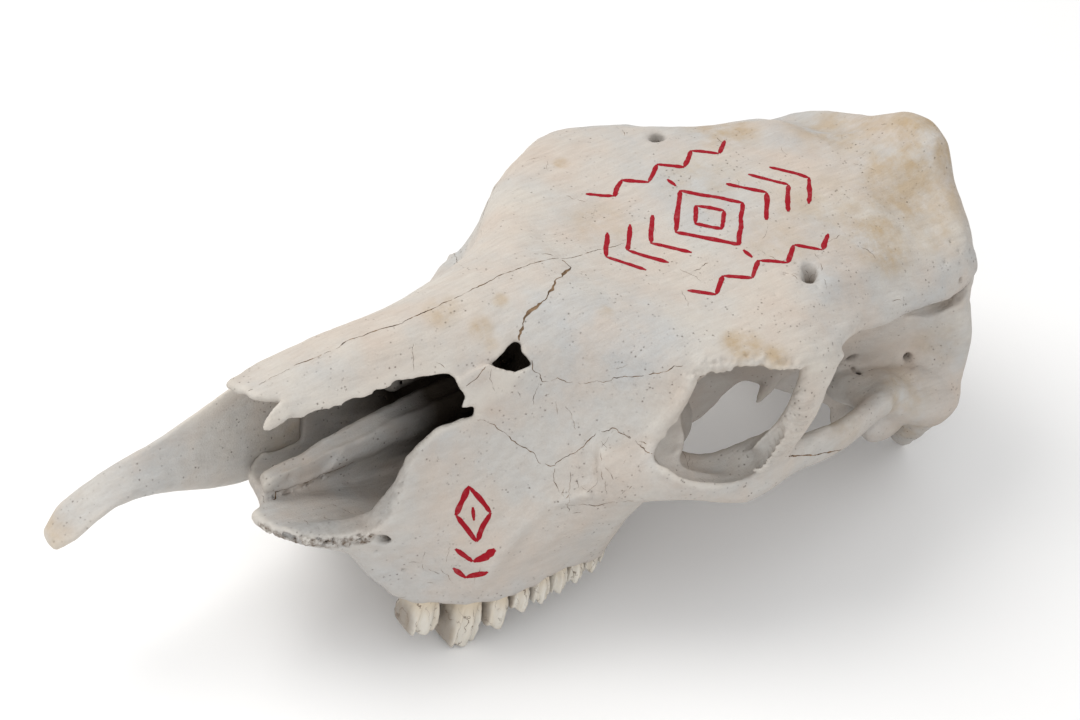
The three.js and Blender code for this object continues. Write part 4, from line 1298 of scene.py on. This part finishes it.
def crack(strips, skin, path, width, wander, seed):
    """A thin dark line that wanders along a path, breaks off here and there and hugs the bone."""
    centre, at = densified(path, 0.6)
    place, normal = skin.nearest(centre)
    side = unit(np.cross(normal, np.gradient(place, axis=0)))
    ends = step01(at, 0, 4) * step01(at[-1] - at, 0, 4)
    trail = np.stack([at, np.full(len(at), seed * 7.3), np.zeros(len(at))], 1)
    sway = layered_noise(trail, 5.0, seed, 3) * wander + 0.3 * wander * noise(trail, 1.3, seed + 9)
    place = place + side * (sway * ends)[:, None]
    least = 0.35 if width >= 0.9 else 0.0
    thick = width * np.clip(0.62 + 0.75 * layered_noise(trail, 3.0, seed + 5, 2), least, 1.5)
    thick *= step01(at, 0, 2.5) * step01(at[-1] - at, 0, 2.5)
    keep = thick > 0.12 * width
    rails = []
    for k in (-0.5, 0.5):
        rail, out = skin.nearest(place + side * (k * thick)[:, None])
        rails.append(rail + out * CRACK_LIFT)
    strips.add(np.array(rails), keep)


def crack_material(settings):
    """Dark dirt in a crack."""
    made, web, surface = new_material("crack_dirt")
    if web is None:
        return made
    position = web.node("TexCoord").outputs["Object"]
    shade = web.ramp(web.noise(position, 220.0, 3.0), 0.35, 0.7)
    web.put(web.tint(rgb(settings.dirt), rgb(settings.crack), shade), surface["Base Color"])
    surface["Roughness"].default_value = 0.95
    surface["Specular IOR Level"].default_value = 0.0
    return made


class SkullMarkSettings(bpy.types.PropertyGroup):
    """Colours of the cracks, and the paint and its brush"""

    dirt: colour_setting("Dirt", "Darkest dirt in the cracks", (0.05, 0.03, 0.018))
    crack: colour_setting("Crack edge", "Brown of the finer cracks", (0.27, 0.18, 0.11))
    paint: colour_setting("Paint", "Colour of the painted ornament", (0.3, 0.003, 0.012))
    brush: FloatProperty(name="Brush", description="Width of a painted stroke, in millimetres",
                         default=2.5, min=0.5, max=6)
    seed: IntProperty(name="Seed", description="Seed of the random cracks", default=11, min=0)


class SKULL_OT_cracks(bpy.types.Operator):
    """Sutures and fine cracks as thin dark lines on the bone"""

    bl_idname = "skull.cracks"
    bl_label = "Cracks"

    def execute(self, context):
        settings = context.scene.skull_marks
        skin, strips = Skin(), Strips()
        for k, (path, width, wander) in enumerate(SUTURES):
            crack(strips, skin, path, width, wander, SUTURE_SEED + k)
        draw = np.random.default_rng(settings.seed)
        for place, reach, number in CRAZED:
            for _ in range(number):
                start = np.array(place) + draw.normal(0, reach * 0.5, 3)
                start, normal = (v[0] for v in skin.nearest([start]))
                way = np.cross(normal, draw.normal(0, 1, 3) + (0.3, 1.2, 0))
                way /= np.linalg.norm(way)
                bend = np.cross(normal, way) * draw.normal(0, 0.25)
                long = draw.uniform(4, 16)
                path = [start + way * long * t + bend * long * t * t for t in (0, 0.35, 0.7, 1)]
                crack(strips, skin, path, draw.uniform(0.14, 0.26), 0.9, int(draw.integers(100, 900)))
        made = new_object("suture_cracks", *strips.mesh(), crack_material(settings))
        return {"FINISHED"}


def chevron(x, y, half, depth):
    """Two strokes that meet at a point."""
    return [[(x - half, y + depth), (x, y)], [(x + half, y + depth), (x, y)]]


def rhomb(x, y, half, deep):
    """Four strokes round a middle."""
    corners = [(x, y - deep), (x + half, y), (x, y + deep), (x - half, y)]
    return [[corners[i], corners[(i + 1) % 4]] for i in range(4)]


def zigzag(x, start, end, count, half):
    """Strokes that swing from side to side along y."""
    ys = np.linspace(start, end, count + 1)
    points = [(x + (half if i % 2 else -half), y) for i, y in enumerate(ys)]
    return [[a, b] for a, b in zip(points[:-1], points[1:])]


# The middle of the ornament on the brow
ORNAMENT_AT = (4, -158)


def brow_ornament():
    """Strokes of the ornament on the brow, in x-y."""
    strokes = []
    x, y = ORNAMENT_AT
    for row in (-64, -50, -36):
        strokes += chevron(x, y + row, 17, 13)
    for row in (36, 50, 64):
        strokes += chevron(x, y + row, 17, -13)
    strokes += rhomb(x, y, 25, 21) + rhomb(x, y, 11, 9)
    strokes += [[(x + side * 29, y), (x + side * 36, y)] for _, side in SIDES]
    for _, side in SIDES:
        strokes += zigzag(x + side * 44, y - 42, y + 46, 8, 4.5)
    return strokes


def cheek_ornament():
    """Strokes of the small ornament on the left cheek, in y-z: a rhomb, a dot and two chevrons."""
    dot = [[(-318, 71), (-318, 65)]]
    upper = [[(-328, 52), (-319, 45)], [(-310, 53), (-319, 45)]]
    lower = [[(-327, 40), (-320, 34)], [(-313, 41), (-320, 34)]]
    return rhomb(-318, 68, 9, 12) + dot + upper + lower


def paint_stroke(strips, skin, stroke, axes, way, width, seed):
    """One brush stroke, laid on the bone along a direction."""
    flat, at = densified(stroke, 0.8)
    side = unit(np.gradient(flat, axis=0))[:, ::-1] * (-1, 1)
    trail = np.stack([at, np.full(len(at), seed * 3.1), np.zeros(len(at))], 1)
    flat = flat + side * (0.45 * noise(trail, 7, seed))[:, None]
    half = 0.5 * width * (1 + 0.22 * noise(trail, 4, seed + 1) + 0.12 * noise(trail, 1.5, seed + 2))
    half *= 0.45 + 0.55 * step01(at, 0, 2.5) * step01(at[-1] - at, 0, 2.5)
    rails, keep = [], np.ones(len(at), bool)
    for k in np.linspace(-1, 1, 5):
        spot = flat + side * (k * half)[:, None]
        start = np.zeros((len(spot), 3))
        start[:, axes] = spot
        start -= np.array(way) * CAST_FROM
        place, normal, hit = skin.cast(start, way)
        rails.append(place + normal * (PAINT_LIFT - PAINT_FALL * k * k))
        keep &= hit
    strips.add(np.array(rails), keep)


def paint_material(settings):
    """Thin red paint, a little uneven."""
    made, web, surface = new_material("red_paint")
    if web is None:
        return made
    position = web.node("TexCoord").outputs["Object"]
    thin = web.ramp(web.noise(position, 300.0, 4.0, 0.65), 0.52, 0.78, 0.0, 0.5)
    pale = tuple(c + (1 - c) * 0.1 for c in settings.paint)
    web.put(web.tint(rgb(settings.paint), rgb(pale), thin), surface["Base Color"])
    surface["Roughness"].default_value = 0.6
    surface["Specular IOR Level"].default_value = 0.15
    bump = web.node("Bump", {"Height": web.noise(position, 500.0, 3.0), "Strength": 0.3,
                             "Distance": 0.0004})
    web.put(bump.outputs[0], surface["Normal"])
    return made


class SKULL_OT_paint(bpy.types.Operator):
    """The painted ornament on the brow and on the left cheek"""

    bl_idname = "skull.paint"
    bl_label = "Painted ornament"

    def execute(self, context):
        settings = context.scene.skull_marks
        skin, strips = Skin(), Strips()
        for k, stroke in enumerate(brow_ornament()):
            paint_stroke(strips, skin, stroke, [0, 1], (0, 0, -1), settings.brush, BROW_SEED + k)
        for k, stroke in enumerate(cheek_ornament()):
            paint_stroke(strips, skin, stroke, [1, 2], (-1, 0, 0), settings.brush * 1.05, CHEEK_SEED + k)
        made = new_object("painted_ornament", *strips.mesh(), paint_material(settings))
        return {"FINISHED"}


# Stage


class SkullStageSettings(bpy.types.PropertyGroup):
    """Floor and lights"""

    floor: colour_setting("Floor", "Colour of the floor", (0.96, 0.96, 0.96))
    key: FloatProperty(name="Key light", description="Power of the main light", default=15.0,
                       min=0, unit="POWER")
    fill: FloatProperty(name="Fill light", description="Power of the fill light", default=5.0,
                        min=0, unit="POWER")
    sky: FloatProperty(name="Sky", description="Strength of the light from all round",
                       default=0.75, min=0)


def area_light(name, place, aim, size, watts, colour):
    """A soft square light that looks at a point, both in metres."""
    lamp = bpy.data.lights.new(name, "AREA")
    lamp.energy, lamp.size, lamp.color = watts, size, colour
    made = bpy.data.objects.new(name, lamp)
    made.location = place
    made.rotation_euler = (Vector(aim) - Vector(place)).to_track_quat("-Z", "Y").to_euler()
    bpy.context.scene.collection.objects.link(made)
    return made


def lay_floor(settings):
    """A plain pale floor with a faint mottle, wide enough to fill the view."""
    half = 6.0
    mesh = bpy.data.meshes.new("floor")
    mesh.from_pydata([(-half, -half, 0), (half, -half, 0), (half, half, 0), (-half, half, 0)],
                     [], [(0, 1, 2, 3)])
    floor = bpy.data.objects.new("floor", mesh)
    bpy.context.scene.collection.objects.link(floor)
    material, web, surface = new_material("floor_paper")
    position = web.node("TexCoord").outputs["Object"]
    shade = web.ramp(web.noise(position, 2.0), 0.3, 0.7, 0.0, 1.0)
    tone = [c * 0.985 for c in settings.floor]
    web.put(web.tint(rgb(settings.floor), rgb(tone), shade), surface["Base Color"])
    surface["Roughness"].default_value = 0.9
    surface["Specular IOR Level"].default_value = 0.0
    mesh.materials.append(material)


def light_studio(settings):
    """Even light from all round, a warm key light and a cool fill light."""
    world = bpy.data.worlds.new("studio")
    world.use_nodes = True
    light = world.node_tree.nodes["Background"].inputs
    light["Color"].default_value = (1, 1, 1, 1)
    light["Strength"].default_value = settings.sky
    bpy.context.scene.world = world
    middle = (0.0, 0.0, 0.09)
    area_light("key", (-0.7, -0.5, 1.5), middle, 1.1, settings.key, (1.0, 0.98, 0.95))
    area_light("fill", (1.2, -0.9, 0.7), middle, 1.4, settings.fill, (0.94, 0.97, 1.0))


def place_camera():
    """The camera at the viewpoint, turned by its right, up and back directions."""
    lens = bpy.data.cameras.new("view")
    lens.lens, lens.sensor_width, lens.clip_start, lens.clip_end = LENS_MM, 36.0, 0.05, 50
    camera = bpy.data.objects.new("view", lens)
    bpy.context.scene.collection.objects.link(camera)
    zero = to_frame((0, 0, 0))
    axes = [to_frame(np.array(v) * 1000.0) - zero for v in (EYE_RIGHT, EYE_UP, EYE_BACK)]
    turn = Matrix([[axes[c][r] for c in range(3)] for r in range(3)]).to_4x4()
    camera.matrix_world = Matrix.Translation(to_frame(EYE_AT)) @ turn
    bpy.context.scene.camera = camera


class SKULL_OT_stage(bpy.types.Operator):
    """Floor, soft studio light and the camera"""

    bl_idname = "skull.stage"
    bl_label = "Stage"

    def execute(self, context):
        settings = context.scene.skull_stage
        lay_floor(settings)
        light_studio(settings)
        place_camera()
        context.scene.view_settings.view_transform = "Standard"
        return {"FINISHED"}


class SKULL_PT_panel(bpy.types.Panel):
    """Settings and steps of the skull"""

    bl_label = "Skull"
    bl_idname = "SKULL_PT_panel"
    bl_space_type = "VIEW_3D"
    bl_region_type = "UI"
    bl_category = "Skull"

    def draw(self, context):
        for holder, operators in (
            (context.scene.skull_bone, ("skull.cranium", "skull.incisive")),
            (context.scene.skull_teeth, ("skull.teeth",)),
            (context.scene.skull_marks, ("skull.cracks", "skull.paint")),
            (context.scene.skull_stage, ("skull.stage",)),
        ):
            column = self.layout.column(align=True)
            for key in holder.bl_rna.properties.keys():
                if key not in ("rna_type", "name"):
                    column.prop(holder, key)
            for name in operators:
                column.operator(name)


CLASSES = (SkullBoneSettings, SkullTeethSettings, SkullMarkSettings, SkullStageSettings,
           SKULL_OT_cranium, SKULL_OT_incisive, SKULL_OT_teeth, SKULL_OT_cracks, SKULL_OT_paint,
           SKULL_OT_stage, SKULL_PT_panel)


def register():
    """Add the classes and their settings."""
    for cls in CLASSES:
        bpy.utils.register_class(cls)
    bpy.types.Scene.skull_bone = PointerProperty(type=SkullBoneSettings)
    bpy.types.Scene.skull_teeth = PointerProperty(type=SkullTeethSettings)
    bpy.types.Scene.skull_marks = PointerProperty(type=SkullMarkSettings)
    bpy.types.Scene.skull_stage = PointerProperty(type=SkullStageSettings)


def unregister():
    """Take the classes and their settings away."""
    del bpy.types.Scene.skull_stage
    del bpy.types.Scene.skull_marks
    del bpy.types.Scene.skull_teeth
    del bpy.types.Scene.skull_bone
    for cls in reversed(CLASSES):
        bpy.utils.unregister_class(cls)


def main():
    """Build every piece in order."""
    register()
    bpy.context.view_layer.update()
    bpy.ops.skull.cranium()
    bpy.ops.skull.incisive()
    bpy.ops.skull.teeth()
    bpy.ops.skull.cracks()
    bpy.ops.skull.paint()
    bpy.ops.skull.stage()


if __name__ == "__main__":
    main()
